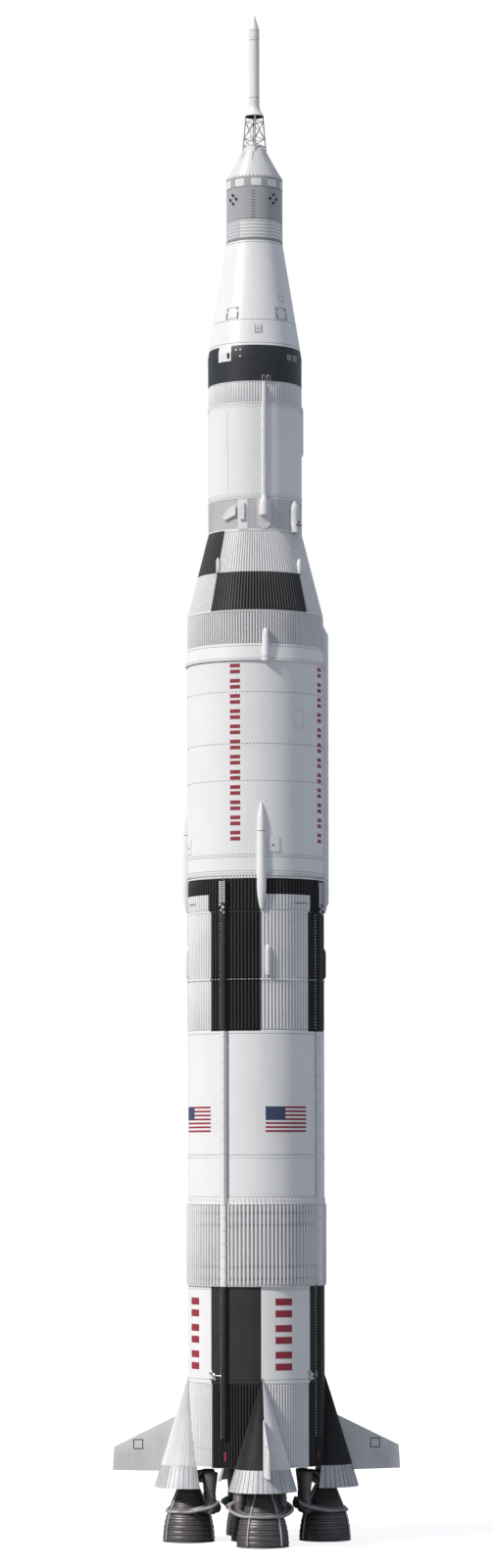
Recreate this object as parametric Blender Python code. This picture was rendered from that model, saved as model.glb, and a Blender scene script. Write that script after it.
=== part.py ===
"""Three-stage moon rocket at one tenth of its real size, standing on its five engine nozzles.

Metres, +Z up, origin on the floor under the rocket's axis. The front looks along -Y, and a bearing is
counted from there towards +X, in degrees. Engines, fairings and fins stand at bearings 0, 90, 180, 270.
"""

import math

import bmesh
import bpy
from mathutils import Matrix, Vector

# Running gap between two solids that touch, and the sides of a round piece by its size
SEAM = 0.0003
WELD = 0.00001
STAGE_SIDES = 72
MODULE_SIDES = 48
BELL_SIDES = 24
TUBE_SIDES = 24
POD_SIDES = 12
PIN_SIDES = 8
LEG_SIDES = 6
BRACE_SIDES = 4

# Heights of the joints between sections, from the floor up
BASE_Z = 0.555
TAIL_TOP_Z = 1.165
FUEL_TOP_Z = 1.856
INTERTANK_TOP_Z = 2.447
OXIDIZER_TOP_Z = 3.683
FIRST_STAGE_TOP_Z = 4.052
INTERSTAGE_TOP_Z = 4.540
SECOND_SKIRT_TOP_Z = 4.775
SECOND_TANK_TOP_Z = 6.332
COLLAR_TOP_Z = 6.447
SECOND_STAGE_TOP_Z = 6.692
UPPER_INTERSTAGE_TOP_Z = 7.288
THIRD_SKIRT_TOP_Z = 7.521
THIRD_TANK_TOP_Z = 8.195
THIRD_STAGE_TOP_Z = 8.354
RING_SHOULDER_Z = 8.563
RING_TOP_Z = 8.614
ADAPTER_TOP_Z = 9.395
SERVICE_TOP_Z = 9.853
COVER_SHOULDER_Z = 10.066
COVER_TOP_Z = 10.125
TOWER_TOP_Z = 10.327
MOTOR_BASE_Z = 10.405
MOTOR_TOP_Z = 10.952
TIP_Z = 11.058

# Radii of the sections
STAGE_R = 0.494
INTERTANK_R = 0.508
FORWARD_SKIRT_R = 0.492
THIRD_STAGE_R = 0.339
RING_SHOULDER_R = 0.340
RING_TOP_R = 0.3316
SERVICE_R = 0.203
COVER_R = 0.202
COVER_SHOULDER_R = 0.084
MOTOR_R = 0.037
SKIRT_TOP_R = 0.038
SKIRT_LIP_R = 0.069

BEARINGS = (0, 90, 180, 270)

# Corrugated sections: an upright rib on each corner of the section, and the valleys between them
RIB_DEPTH = 0.006
RIBBED_SECTIONS = (
    "first_stage_tail", "first_stage_intertank", "first_stage_forward_skirt", "lower_interstage",
    "second_stage_aft_skirt", "second_stage_forward_skirt", "upper_interstage",
    "third_stage_forward_skirt",
)

# Engines: the outer ones stand on a circle of this radius and swivel about the gimbal's centre
ENGINE_CIRCLE_R = 0.4955
GIMBAL_Z = 0.530
CENTRE_ENGINE_BEARING = 180
BELL_LIP_R = 0.188
BELL_WALL = 0.004
MANIFOLD_R = 0.178
MANIFOLD_LOW_Z = 0.185
MANIFOLD_FLAT_Z = 0.230
THROAT_R = 0.0445
THROAT_Z = 0.440
CHAMBER_R = 0.051
CHAMBER_TOP_Z = 0.500

# Gimbal: a cross whose pins turn in two ears of the tail and two ears of the engine
CROSS_SIDE = 0.020
CROSS_HEIGHT = 0.012
PIN_R = 0.0045
PIN_HOLE_R = 0.0050
EAR_INNER = 0.0135
EAR_OUTER = 0.0215
EAR_WIDTH = 0.018
EAR_END = 0.009
EAR_ROOT = 0.004

# Hold-down pads under the base plate, between the engines
PAD_CIRCLE_R = 0.435
PAD_SIDE = 0.060
PAD_DROP = 0.006

# Turbopump inboard of the chamber, with an exhaust duct on each side of it
DUCT_TURN = 45.0
DUCT_OFFSET = 0.213
DUCT_R = 0.046
DUCT_LOW_R = 0.033
DUCT_NECK_R = 0.030
DUCT_LOW_Z = 0.197
DUCT_TOP_Z = 0.511
ELBOW_OFFSET = 0.250
ELBOW_R = 0.034
ELBOW_HALF = 0.030
ELBOW_Z = 0.231
STUB_Z = 0.212
STUB_R = 0.014
CROSS_PIPE_Z = 0.468
CROSS_PIPE_R = 0.013
PUMP_OFFSET = 0.098
PUMP_R = 0.036
PUMP_LOW_Z = 0.430
PUMP_TOP_Z = 0.508
PUMP_ARM_Z = 0.478
PUMP_ARM_R = 0.016

# Engine fairings: upright cones round the outer engines, painted above the base and bare below it
FAIRING_LIP_Z = 0.395
FAIRING_LIP_R = 0.245
FAIRING_TIP_Z = 1.205
FAIRING_WALL = 0.008
FAIRING_CEILING_Z = 0.600

# Fins
FIN_ROOT_TOP_Z = 0.913
FIN_ROOT_LOW_Z = 0.511
FIN_TIP_TOP_Z = 0.689
FIN_TIP_LOW_Z = 0.520
FIN_TIP_TOP_R = 1.035
FIN_TIP_LOW_R = 1.046
FIN_EDGE = 0.008
FIN_BACK = 0.026

# Cable tunnels down the sides
FIRST_TUNNEL_BEARINGS = (-32, 58, 148, 238)
FIRST_TUNNEL_WIDTH = 0.046
FIRST_TUNNEL_HEIGHT = 0.020
FIRST_TUNNEL_LOW_Z = 0.752
SECOND_TUNNEL_BEARING = 80
SECOND_TUNNEL_WIDTH = 0.066
SECOND_TUNNEL_HEIGHT = 0.021
SECOND_TUNNEL_LOW_Z = 4.560
SECOND_TUNNEL_TOP_Z = 6.620
TUNNEL_NOSE = 0.060
THIRD_TUNNEL_BEARING = 6
THIRD_TUNNEL_WIDTH = 0.030
THIRD_TUNNEL_HEIGHT = 0.016

# Pods: bearing, then (half width, height) down the pod, which is a turned body half sunk in the skin
FEED_LINE_BEARINGS = (0, 90, 180, 225, 270)
FEED_LINE_OUTLINE = (
    (0.0, 4.548), (0.009, 4.556), (0.024, 4.612), (0.033, 4.700), (0.034, 4.760), (0.030, 4.900),
    (0.027, 5.090), (0.025, 5.200), (0.008, 5.300), (0.0, 5.322),
)
TUNNEL_FOOT_OUTLINE = (
    (0.0, 7.386), (0.030, 7.388), (0.030, 7.475), (0.026, 7.492), (0.013, 7.530), (0.0, 7.540),
)
ATTITUDE_POD_BEARINGS = (48.5, 228.5)
ATTITUDE_POD_OUTLINE = (
    (0.0, 7.276), (0.039, 7.278), (0.036, 7.292), (0.035, 7.460), (0.012, 7.505), (0.0, 7.510),
)
RETRO_BEARINGS = (45, 135, 225, 315)
RETRO_OUTLINE = ((0.0, 6.968), (0.017, 6.970), (0.018, 7.040), (0.010, 7.078), (0.0, 7.086))
SEPARATION_MOTOR_BEARINGS = (5, 95, 185, 275)
SEPARATION_MOTOR_OUTLINE = (
    (0.0, 4.076), (0.010, 4.080), (0.018, 4.110), (0.018, 4.250), (0.008, 4.292), (0.0, 4.300),
)
COLLAR_FAIRING_BEARING = 3.8
COLLAR_FAIRING_OUTLINE = (
    (0.0, 6.322), (0.025, 6.324), (0.026, 6.400), (0.022, 6.480), (0.010, 6.550), (0.0, 6.560),
)

# Escape tower: leg circle at its top and foot, and the heights of its three rings
LEG_TOP_CIRCLE_R = 0.062
LEG_FOOT_CIRCLE_R = 0.086
LEG_FOOT_Z = 10.045
LEG_R = 0.0045
LEG_HEAD_GAP = 0.0008
BRACE_R = 0.0028
CROSSED_BRACE_R = 0.0025
TOWER_RING_Z = (10.291, 10.167, 10.109)
SKIRT_FLANGE_R = 0.057
SKIRT_RECESS_R = 0.050
SKIRT_RECESS_Z = 10.375

# Finishes: red, green, blue, roughness, metallic
FINISHES = {
    "white_paint": (0.86, 0.86, 0.84, 0.45, 0.0),
    "black_paint": (0.03, 0.03, 0.03, 0.50, 0.0),
    "grey_paint": (0.55, 0.55, 0.54, 0.50, 0.0),
    "bare_metal": (0.62, 0.62, 0.60, 0.35, 1.0),
    "engine_metal": (0.20, 0.18, 0.16, 0.45, 0.9),
}


def clear_scene():
    for thing in list(bpy.data.objects):
        bpy.data.objects.remove(thing, do_unlink=True)


def finish(name):
    """The named finish, made once."""
    if name in bpy.data.materials:
        return bpy.data.materials[name]
    red, green, blue, roughness, metallic = FINISHES[name]
    material = bpy.data.materials.new(name)
    material.use_nodes = True
    shader = material.node_tree.nodes["Principled BSDF"]
    shader.inputs["Base Color"].default_value = (red, green, blue, 1.0)
    shader.inputs["Roughness"].default_value = roughness
    shader.inputs["Metallic"].default_value = metallic
    return material


def solid(name, form, finish_name, crease_deg=30):
    """The object of a bmesh, with its finish on it."""
    bmesh.ops.recalc_face_normals(form, faces=form.faces)
    mesh = bpy.data.meshes.new(name)
    form.to_mesh(mesh)
    form.free()
    mesh.shade_smooth()
    mesh.set_sharp_from_angle(angle=math.radians(crease_deg))
    mesh.materials.append(finish(finish_name))
    thing = bpy.data.objects.new(name, mesh)
    bpy.context.scene.collection.objects.link(thing)
    return thing


def combined(base, others, operation):
    """Base with the other solids fused to it (UNION) or cut from it (DIFFERENCE)."""
    for other in others:
        change = base.modifiers.new("Change", "BOOLEAN")
        change.operation = operation
        change.solver = "EXACT"
        change.object = other
    bpy.context.view_layer.update()
    evaluated = base.evaluated_get(bpy.context.evaluated_depsgraph_get())
    mesh = bpy.data.meshes.new_from_object(evaluated)
    base.modifiers.clear()
    base.data = mesh
    for other in others:
        bpy.data.objects.remove(other, do_unlink=True)
    return base


def heading(bearing):
    """The turn about Z that takes +X to a bearing."""
    return Matrix.Rotation(math.radians(bearing - 90), 4, "Z")


def placed(form, bearing):
    """A bmesh made with its outer side at +X, turned to a bearing."""
    form.transform(heading(bearing))
    return form


def turned(outline, sides, centre=0.0, rib_depth=0.0):
    """A body turned about an upright axis at x = centre, from (radius, height) up its outer side.

    An outline that comes back down inside has its two axis points in a row, with nothing between them.
    With a rib depth, a valley that deep lies between each two corners, so each corner is a rib.
    """
    form = bmesh.new()
    rings = []
    step = 0.5 if rib_depth else 1.0
    count = round(sides / step)
    for radius, height in outline:
        if radius == 0:
            rings.append([form.verts.new((centre, 0, height))])
            continue
        ring = []
        for index in range(count):
            angle = 2 * math.pi * (index * step + 0.5) / sides
            out = radius - rib_depth if index % 2 else radius
            ring.append(form.verts.new((centre + out * math.cos(angle), out * math.sin(angle), height)))
        rings.append(ring)
    for low, high in zip(rings, rings[1:]):
        if len(low) == len(high) == 1:
            continue
        for index in range(count):
            follower = (index + 1) % count
            corners = (
                low[index % len(low)], low[follower % len(low)],
                high[follower % len(high)], high[index % len(high)],
            )
            form.faces.new(list(dict.fromkeys(corners)))
    return form


def box(low, high):
    """A box between two corners."""
    form = bmesh.new()
    size = Vector(high) - Vector(low)
    middle = (Vector(high) + Vector(low)) / 2
    bmesh.ops.create_cube(form, size=1.0, matrix=Matrix.Translation(middle) @ Matrix.Diagonal((*size, 1)))
    return form


def rod(start, end, radius, sides):
    """A round bar between two points."""
    start, end = Vector(start), Vector(end)
    along = end - start
    form = bmesh.new()
    bmesh.ops.create_cone(
        form, cap_ends=True, segments=sides, radius1=radius, radius2=radius, depth=along.length,
        matrix=Matrix.Translation((start + end) / 2) @ along.to_track_quat("Z", "Y").to_matrix().to_4x4(),
    )
    return form


def plate(outline, half_width_at):
    """A closed body from an (x, z) outline, as wide each way along Y as half_width_at says there."""
    form = bmesh.new()
    sides = []
    for side in (-1, 1):
        sides.append([
            form.verts.new((x, side * half_width_at(x, z), z)) for x, z in outline
        ])
    form.faces.new(sides[0])
    form.faces.new(list(reversed(sides[1])))
    count = len(outline)
    for index in range(count):
        follower = (index + 1) % count
        form.faces.new((sides[0][index], sides[1][index], sides[1][follower], sides[0][follower]))
    return form


def stacked_section(name, low_z, low_r, high_z, high_r, finish_name, sides=STAGE_SIDES):
    """One section of the hull, from one height and radius to the next, with the seam above it."""
    top = high_z - SEAM
    outline = ((0.0, low_z), (low_r, low_z), (high_r, top), (0.0, top))
    depth = RIB_DEPTH if name in RIBBED_SECTIONS else 0.0
    return solid(name, turned(outline, sides, rib_depth=depth), finish_name)


def hull():
    """The sections of the three stages and the payload that are plain drums and cones."""
    # name, low height, low radius, high height, high radius, finish
    for name, low_z, low_r, high_z, high_r, finish_name in (
        ("first_stage_fuel_tank", TAIL_TOP_Z, STAGE_R, FUEL_TOP_Z, STAGE_R, "white_paint"),
        ("first_stage_intertank", FUEL_TOP_Z, INTERTANK_R, INTERTANK_TOP_Z, INTERTANK_R, "grey_paint"),
        ("first_stage_oxidizer_tank", INTERTANK_TOP_Z, STAGE_R, OXIDIZER_TOP_Z, STAGE_R, "white_paint"),
        ("first_stage_forward_skirt", OXIDIZER_TOP_Z, STAGE_R, FIRST_STAGE_TOP_Z, STAGE_R, "black_paint"),
        ("second_stage_aft_skirt", INTERSTAGE_TOP_Z, STAGE_R, SECOND_SKIRT_TOP_Z, STAGE_R, "black_paint"),
        ("second_stage_tank", SECOND_SKIRT_TOP_Z, STAGE_R, SECOND_TANK_TOP_Z, STAGE_R, "white_paint"),
        ("second_stage_collar", SECOND_TANK_TOP_Z, INTERTANK_R, COLLAR_TOP_Z, STAGE_R, "white_paint"),
        ("second_stage_forward_skirt", COLLAR_TOP_Z, FORWARD_SKIRT_R, SECOND_STAGE_TOP_Z,
         FORWARD_SKIRT_R, "grey_paint"),
        ("third_stage_aft_skirt", UPPER_INTERSTAGE_TOP_Z, THIRD_STAGE_R, THIRD_SKIRT_TOP_Z,
         THIRD_STAGE_R, "grey_paint"),
        ("third_stage_tank", THIRD_SKIRT_TOP_Z, THIRD_STAGE_R, THIRD_TANK_TOP_Z, THIRD_STAGE_R,
         "white_paint"),
        ("third_stage_forward_skirt", THIRD_TANK_TOP_Z, THIRD_STAGE_R, THIRD_STAGE_TOP_Z,
         THIRD_STAGE_R, "white_paint"),
        ("spacecraft_adapter", RING_TOP_Z, RING_TOP_R, ADAPTER_TOP_Z, SERVICE_R, "white_paint"),
    ):
        stacked_section(name, low_z, low_r, high_z, high_r, finish_name)
    stacked_section("service_module", ADAPTER_TOP_Z, SERVICE_R, SERVICE_TOP_Z, SERVICE_R,
                    "grey_paint", MODULE_SIDES)
    ring_outline = (
        (0.0, THIRD_STAGE_TOP_Z), (THIRD_STAGE_R, THIRD_STAGE_TOP_Z),
        (RING_SHOULDER_R, RING_SHOULDER_Z), (RING_TOP_R, RING_TOP_Z - SEAM), (0.0, RING_TOP_Z - SEAM),
    )
    solid("instrument_ring", turned(ring_outline, STAGE_SIDES), "black_paint")


def cover_outline(swell=0.0):
    """The crew cover: a cone with a domed top, swollen by a little for what is cut to fit it."""
    outline = [(0.0, SERVICE_TOP_Z - swell), (COVER_R + swell, SERVICE_TOP_Z - swell)]
    outline.append((COVER_SHOULDER_R + swell, COVER_SHOULDER_Z))
    dome_steps = 3
    for step in range(1, dome_steps):
        angle = math.pi / 2 * step / dome_steps
        outline.append((
            (COVER_SHOULDER_R + swell) * math.cos(angle),
            COVER_SHOULDER_Z + (COVER_TOP_Z + swell - COVER_SHOULDER_Z) * math.sin(angle),
        ))
    outline.append((0.0, COVER_TOP_Z + swell))
    return outline


def leg_point(bearing, height):
    """The centre of a tower leg at a height."""
    share = (TOWER_TOP_Z - height) / (TOWER_TOP_Z - LEG_FOOT_Z)
    radius = LEG_TOP_CIRCLE_R + share * (LEG_FOOT_CIRCLE_R - LEG_TOP_CIRCLE_R)
    return heading(bearing) @ Vector((radius, 0, height))


def escape_tower():
    """Four legs, three rings of bars and crossed braces, fused, with their feet cut to the cover."""
    legs = [
        (leg_point(bearing, LEG_FOOT_Z), leg_point(bearing, TOWER_TOP_Z - LEG_HEAD_GAP), LEG_R, LEG_SIDES)
        for bearing in BEARINGS
    ]
    braces = []
    upper, middle, lower = TOWER_RING_Z
    for bearing in BEARINGS:
        neighbour = bearing + 90
        for height in TOWER_RING_Z:
            braces.append((leg_point(bearing, height), leg_point(neighbour, height), BRACE_R, BRACE_SIDES))
        for low, high in ((middle, upper), (lower, middle)):
            braces.append((leg_point(bearing, low), leg_point(neighbour, high), BRACE_R, BRACE_SIDES))
        braces.append((
            leg_point(bearing, upper), leg_point(neighbour, middle), CROSSED_BRACE_R, BRACE_SIDES,
        ))
    pieces = [solid("bar", rod(*bar), "white_paint") for bar in legs + braces]
    tower = combined(pieces[0], pieces[1:], "UNION")
    cover = solid("cover_cutter", turned(cover_outline(SEAM), MODULE_SIDES), "white_paint")
    combined(tower, [cover], "DIFFERENCE")
    tower.name = "escape_tower"


def escape_system():
    """The cover over the crew capsule, and the tower, skirt, motor and nose above it."""
    solid("boost_cover", turned(cover_outline(), MODULE_SIDES), "white_paint")
    escape_tower()
    skirt_outline = (
        (0.0, SKIRT_RECESS_Z), (SKIRT_RECESS_R * 0.7, SKIRT_RECESS_Z), (SKIRT_FLANGE_R, TOWER_TOP_Z),
        (SKIRT_LIP_R, TOWER_TOP_Z), (SKIRT_LIP_R, TOWER_TOP_Z + 0.004),
        (SKIRT_TOP_R, MOTOR_BASE_Z - SEAM), (0.0, MOTOR_BASE_Z - SEAM),
    )
    solid("escape_skirt", turned(skirt_outline, TUBE_SIDES), "white_paint")
    stacked_section("escape_motor", MOTOR_BASE_Z, MOTOR_R, MOTOR_TOP_Z, MOTOR_R, "white_paint",
                    TUBE_SIDES)
    nose_outline = (
        (0.0, MOTOR_TOP_Z), (MOTOR_R, MOTOR_TOP_Z), (0.010, TIP_Z - 0.014), (0.006, TIP_Z - 0.003),
        (0.0, TIP_Z),
    )
    solid("escape_nose_cone", turned(nose_outline, TUBE_SIDES), "white_paint")


def skin_cutter(radius, low_z, high_z, top_radius=None):
    """What is taken off a piece that lies on the hull: the hull there, a seam wider."""
    top = radius if top_radius is None else top_radius
    margin = 0.05
    slope = (top - radius) / (high_z - low_z)
    outline = (
        (0.0, low_z - margin), (radius - slope * margin + SEAM, low_z - margin),
        (top + slope * margin + SEAM, high_z + margin), (0.0, high_z + margin),
    )
    return solid("cutter", turned(outline, STAGE_SIDES), "white_paint")


def pod(outline, bearing, skin_r, rise, finish_name, name="pod"):
    """A turned pod with its axis a little outside the skin."""
    thing = solid(name, placed(turned(outline, POD_SIDES, centre=skin_r + rise), bearing), finish_name)
    return thing


def pods():
    """The fairings that lie on the hull: feed lines, attitude pods, the collar's and the tunnel's."""
    for number, bearing in enumerate(FEED_LINE_BEARINGS, 1):
        thing = pod(FEED_LINE_OUTLINE, bearing, STAGE_R, 0.003, "white_paint")
        combined(thing, [skin_cutter(STAGE_R, INTERSTAGE_TOP_Z, 5.4)], "DIFFERENCE")
        thing.name = f"feed_line_fairing_{number}"
    for number, bearing in enumerate(ATTITUDE_POD_BEARINGS, 1):
        thing = pod(ATTITUDE_POD_OUTLINE, bearing, THIRD_STAGE_R, 0.014, "grey_paint")
        skins = [
            skin_cutter(THIRD_STAGE_R, UPPER_INTERSTAGE_TOP_Z, THIRD_SKIRT_TOP_Z),
            skin_cutter(FORWARD_SKIRT_R, SECOND_STAGE_TOP_Z, UPPER_INTERSTAGE_TOP_Z, THIRD_STAGE_R),
        ]
        combined(thing, skins, "DIFFERENCE")
        thing.name = f"attitude_pod_{number}"
    thing = pod(COLLAR_FAIRING_OUTLINE, COLLAR_FAIRING_BEARING, STAGE_R, 0.012, "white_paint")
    combined(thing, [skin_cutter(INTERTANK_R, SECOND_TANK_TOP_Z, 6.6)], "DIFFERENCE")
    thing.name = "collar_fairing"


def interstages():
    """The two sections with small motor fairings fused to them."""
    motors = [
        pod(RETRO_OUTLINE, bearing, upper_interstage_r(sum(RETRO_OUTLINE[2]) - RETRO_OUTLINE[2][0]),
            0.006, "white_paint")
        for bearing in RETRO_BEARINGS
    ]
    cone = stacked_section("upper_interstage", SECOND_STAGE_TOP_Z, FORWARD_SKIRT_R,
                           UPPER_INTERSTAGE_TOP_Z, THIRD_STAGE_R, "white_paint")
    combined(cone, motors, "UNION")
    motors = [
        pod(SEPARATION_MOTOR_OUTLINE, bearing, STAGE_R, 0.004, "white_paint")
        for bearing in SEPARATION_MOTOR_BEARINGS
    ]
    drum = stacked_section("lower_interstage", FIRST_STAGE_TOP_Z, STAGE_R, INTERSTAGE_TOP_Z,
                           STAGE_R, "white_paint")
    combined(drum, motors, "UNION")


def upper_interstage_r(height):
    """The radius of the cone between the second and third stages at a height."""
    share = (height - SECOND_STAGE_TOP_Z) / (UPPER_INTERSTAGE_TOP_Z - SECOND_STAGE_TOP_Z)
    return FORWARD_SKIRT_R + share * (THIRD_STAGE_R - FORWARD_SKIRT_R)


def tunnel_form(steps, height, half_width):
    """A duct along the hull over (height, radius) steps of the skin, with slanted ends."""
    skin = [(radius + SEAM, z) for z, radius in steps]
    outer_r = max(radius for _, radius in steps) + height
    low_z, high_z = steps[0][0], steps[-1][0]
    outline = skin + [(outer_r, high_z - TUNNEL_NOSE), (outer_r, low_z + TUNNEL_NOSE)]
    return plate(outline, lambda x, z: half_width)


def tunnels():
    """The cable tunnels of the three stages."""
    first_steps = (
        (FIRST_TUNNEL_LOW_Z, STAGE_R), (FUEL_TOP_Z - SEAM, STAGE_R), (FUEL_TOP_Z - SEAM, INTERTANK_R),
        (INTERTANK_TOP_Z + SEAM, INTERTANK_R), (INTERTANK_TOP_Z + SEAM, STAGE_R),
        (SECOND_SKIRT_TOP_Z, STAGE_R),
    )
    for number, bearing in enumerate(FIRST_TUNNEL_BEARINGS, 1):
        form = tunnel_form(first_steps, FIRST_TUNNEL_HEIGHT, FIRST_TUNNEL_WIDTH / 2)
        solid(f"first_stage_tunnel_{number}", placed(form, bearing), "white_paint")
    second_steps = (
        (SECOND_TUNNEL_LOW_Z, STAGE_R), (SECOND_TANK_TOP_Z - SEAM, STAGE_R),
        (SECOND_TANK_TOP_Z - SEAM, INTERTANK_R), (COLLAR_TOP_Z, STAGE_R),
        (SECOND_TUNNEL_TOP_Z, FORWARD_SKIRT_R),
    )
    form = tunnel_form(second_steps, SECOND_TUNNEL_HEIGHT, SECOND_TUNNEL_WIDTH / 2)
    solid("second_stage_tunnel", placed(form, SECOND_TUNNEL_BEARING), "white_paint")
    third_steps = ((TUNNEL_FOOT_OUTLINE[3][1], THIRD_STAGE_R), (THIRD_STAGE_TOP_Z, THIRD_STAGE_R))
    form = tunnel_form(third_steps, THIRD_TUNNEL_HEIGHT, THIRD_TUNNEL_WIDTH / 2)
    duct = solid("third_stage_tunnel", placed(form, THIRD_TUNNEL_BEARING), "white_paint")
    foot = pod(TUNNEL_FOOT_OUTLINE, THIRD_TUNNEL_BEARING, THIRD_STAGE_R, 0.006, "white_paint")
    combined(foot, [skin_cutter(THIRD_STAGE_R, UPPER_INTERSTAGE_TOP_Z, THIRD_SKIRT_TOP_Z)], "DIFFERENCE")
    combined(duct, [foot], "UNION")


def ear(centre_x, across_y, root_z, end_z, hole_height):
    """An ear with a pin hole along its thin side; centre_x and across_y place its two thicknesses."""
    (low_x, high_x), (low_y, high_y) = centre_x, across_y
    low_z, high_z = sorted((root_z, end_z))
    form = box((low_x, low_y, low_z), (high_x, high_y, high_z))
    thing = solid("ear", form, "engine_metal")
    middle_x, middle_y = (low_x + high_x) / 2, (low_y + high_y) / 2
    reach = EAR_WIDTH
    if high_x - low_x < high_y - low_y:
        ends = ((middle_x - reach, middle_y, hole_height), (middle_x + reach, middle_y, hole_height))
    else:
        ends = ((middle_x, middle_y - reach, hole_height), (middle_x, middle_y + reach, hole_height))
    hole = solid("hole", rod(*ends, PIN_HOLE_R, POD_SIDES), "engine_metal")
    return combined(thing, [hole], "DIFFERENCE")


def hold_down_pad(bearing):
    """One pad under the base plate, where an arm of the launch table holds the rocket."""
    side = PAD_SIDE / 2
    form = box((PAD_CIRCLE_R - side, -side, BASE_Z - PAD_DROP), (PAD_CIRCLE_R + side, side, BASE_Z + EAR_ROOT))
    return solid("pad", placed(form, bearing), "black_paint")


def tail():
    """The thrust structure, with gimbal ears for the outer engines and pads under its base plate."""
    ears = []
    half = EAR_WIDTH / 2
    for bearing in BEARINGS:
        for side in (-1, 1):
            low_y, high_y = sorted((side * EAR_INNER, side * EAR_OUTER))
            thing = ear((ENGINE_CIRCLE_R - half, ENGINE_CIRCLE_R + half), (low_y, high_y),
                        BASE_Z + EAR_ROOT, GIMBAL_Z - EAR_END, GIMBAL_Z)
            thing.data.transform(heading(bearing))
            ears.append(thing)
    drum = stacked_section("first_stage_tail", BASE_Z, STAGE_R, TAIL_TOP_Z, STAGE_R, "black_paint")
    pads = [hold_down_pad(bearing + 45) for bearing in BEARINGS]
    combined(drum, ears + pads, "UNION")


def bell_outline():
    """The thrust chamber: up its outer side from the lip, over the dome, and down inside it."""
    inner_lip_r = BELL_LIP_R - BELL_WALL
    outer = [
        (inner_lip_r, 0.0), (BELL_LIP_R, 0.0), (0.169, MANIFOLD_LOW_Z - 0.005),
        (MANIFOLD_R, MANIFOLD_LOW_Z + 0.010), (MANIFOLD_R, MANIFOLD_FLAT_Z - 0.012),
        (MANIFOLD_R - 0.008, MANIFOLD_FLAT_Z), (0.142, MANIFOLD_FLAT_Z),
        (0.074, 0.372), (THROAT_R, THROAT_Z), (CHAMBER_R, THROAT_Z + 0.020),
        (CHAMBER_R, CHAMBER_TOP_Z), (0.0, CHAMBER_TOP_Z),
    ]
    inner = [
        (0.0, CHAMBER_TOP_Z - 0.010), (CHAMBER_R - 0.008, CHAMBER_TOP_Z - 0.010),
        (CHAMBER_R - 0.008, THROAT_Z + 0.016), (THROAT_R - 0.006, THROAT_Z), (0.067, 0.372),
        (0.136, MANIFOLD_FLAT_Z), (0.163, 0.170), (inner_lip_r, 0.0),
    ]
    return outer + inner


def thrust_chamber(name, centre, bearing, gimballed):
    """A hollow nozzle and chamber, with its ears, or its mounting block if it is fixed."""
    form = turned(bell_outline(), BELL_SIDES, centre=centre)
    bmesh.ops.remove_doubles(form, verts=form.verts, dist=WELD)
    bell = solid(name, placed(form, bearing), "engine_metal")
    half = EAR_WIDTH / 2
    root = CHAMBER_TOP_Z - EAR_ROOT
    if gimballed:
        pieces = []
        for side in (-1, 1):
            low_x, high_x = sorted((side * EAR_INNER, side * EAR_OUTER))
            pieces.append(ear((centre + low_x, centre + high_x), (-half, half), root,
                              GIMBAL_Z + EAR_END, GIMBAL_Z))
    else:
        pieces = [solid("block", box((-half, -half, root), (half, half, BASE_Z - SEAM)), "engine_metal")]
    for piece in pieces:
        piece.data.transform(heading(bearing))
    combined(bell, pieces, "UNION")
    return bell


def exhaust_duct(turn):
    """One duct with its elbow and the stub to the manifold, turned from the inboard line, as solids."""
    duct_outline = (
        (0.0, DUCT_LOW_Z), (0.022, DUCT_LOW_Z + 0.001), (DUCT_LOW_R, DUCT_LOW_Z + 0.013),
        (DUCT_LOW_R, 0.335), (DUCT_NECK_R, 0.341), (DUCT_NECK_R, 0.347), (DUCT_LOW_R, 0.352),
        (0.040, 0.430), (DUCT_R, DUCT_TOP_Z - 0.011), (0.036, DUCT_TOP_Z - 0.001), (0.0, DUCT_TOP_Z),
    )
    bell_flat_r = MANIFOLD_R * math.cos(math.pi / BELL_SIDES)
    pieces = [
        turned(duct_outline, POD_SIDES, centre=-DUCT_OFFSET),
        rod((-ELBOW_OFFSET, -ELBOW_HALF, ELBOW_Z), (-ELBOW_OFFSET, ELBOW_HALF, ELBOW_Z), ELBOW_R, POD_SIDES),
        rod((-DUCT_OFFSET, 0, STUB_Z), (-bell_flat_r - SEAM, 0, STUB_Z), STUB_R, PIN_SIDES),
    ]
    for form in pieces:
        form.transform(Matrix.Rotation(math.radians(turn), 4, "Z"))
    joint = Vector((-DUCT_OFFSET, 0, CROSS_PIPE_Z))
    joint.rotate(Matrix.Rotation(math.radians(turn), 3, "Z"))
    pieces.append(rod((-PUMP_OFFSET, 0, CROSS_PIPE_Z), joint, CROSS_PIPE_R, PIN_SIDES))
    return pieces


def turbopump(name, centre, bearing):
    """The pump inboard of the chamber, and the two exhaust ducts from it down to the manifold."""
    pump_outline = (
        (0.0, PUMP_LOW_Z), (PUMP_R * 0.7, PUMP_LOW_Z), (PUMP_R, PUMP_LOW_Z + 0.012),
        (PUMP_R, PUMP_TOP_Z - 0.012), (PUMP_R * 0.6, PUMP_TOP_Z), (0.0, PUMP_TOP_Z),
    )
    pump = solid(name, turned(pump_outline, POD_SIDES, centre=-PUMP_OFFSET), "engine_metal")
    chamber_flat_r = CHAMBER_R * math.cos(math.pi / BELL_SIDES)
    pieces = [rod(
        (-PUMP_OFFSET, 0, PUMP_ARM_Z), (-chamber_flat_r - SEAM, 0, PUMP_ARM_Z), PUMP_ARM_R, PIN_SIDES,
    )]
    for turn in (-DUCT_TURN, DUCT_TURN):
        pieces += exhaust_duct(turn)
    combined(pump, [solid("piece", form, "engine_metal") for form in pieces], "UNION")
    pump.data.transform(heading(bearing) @ Matrix.Translation((centre, 0, 0)))


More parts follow.
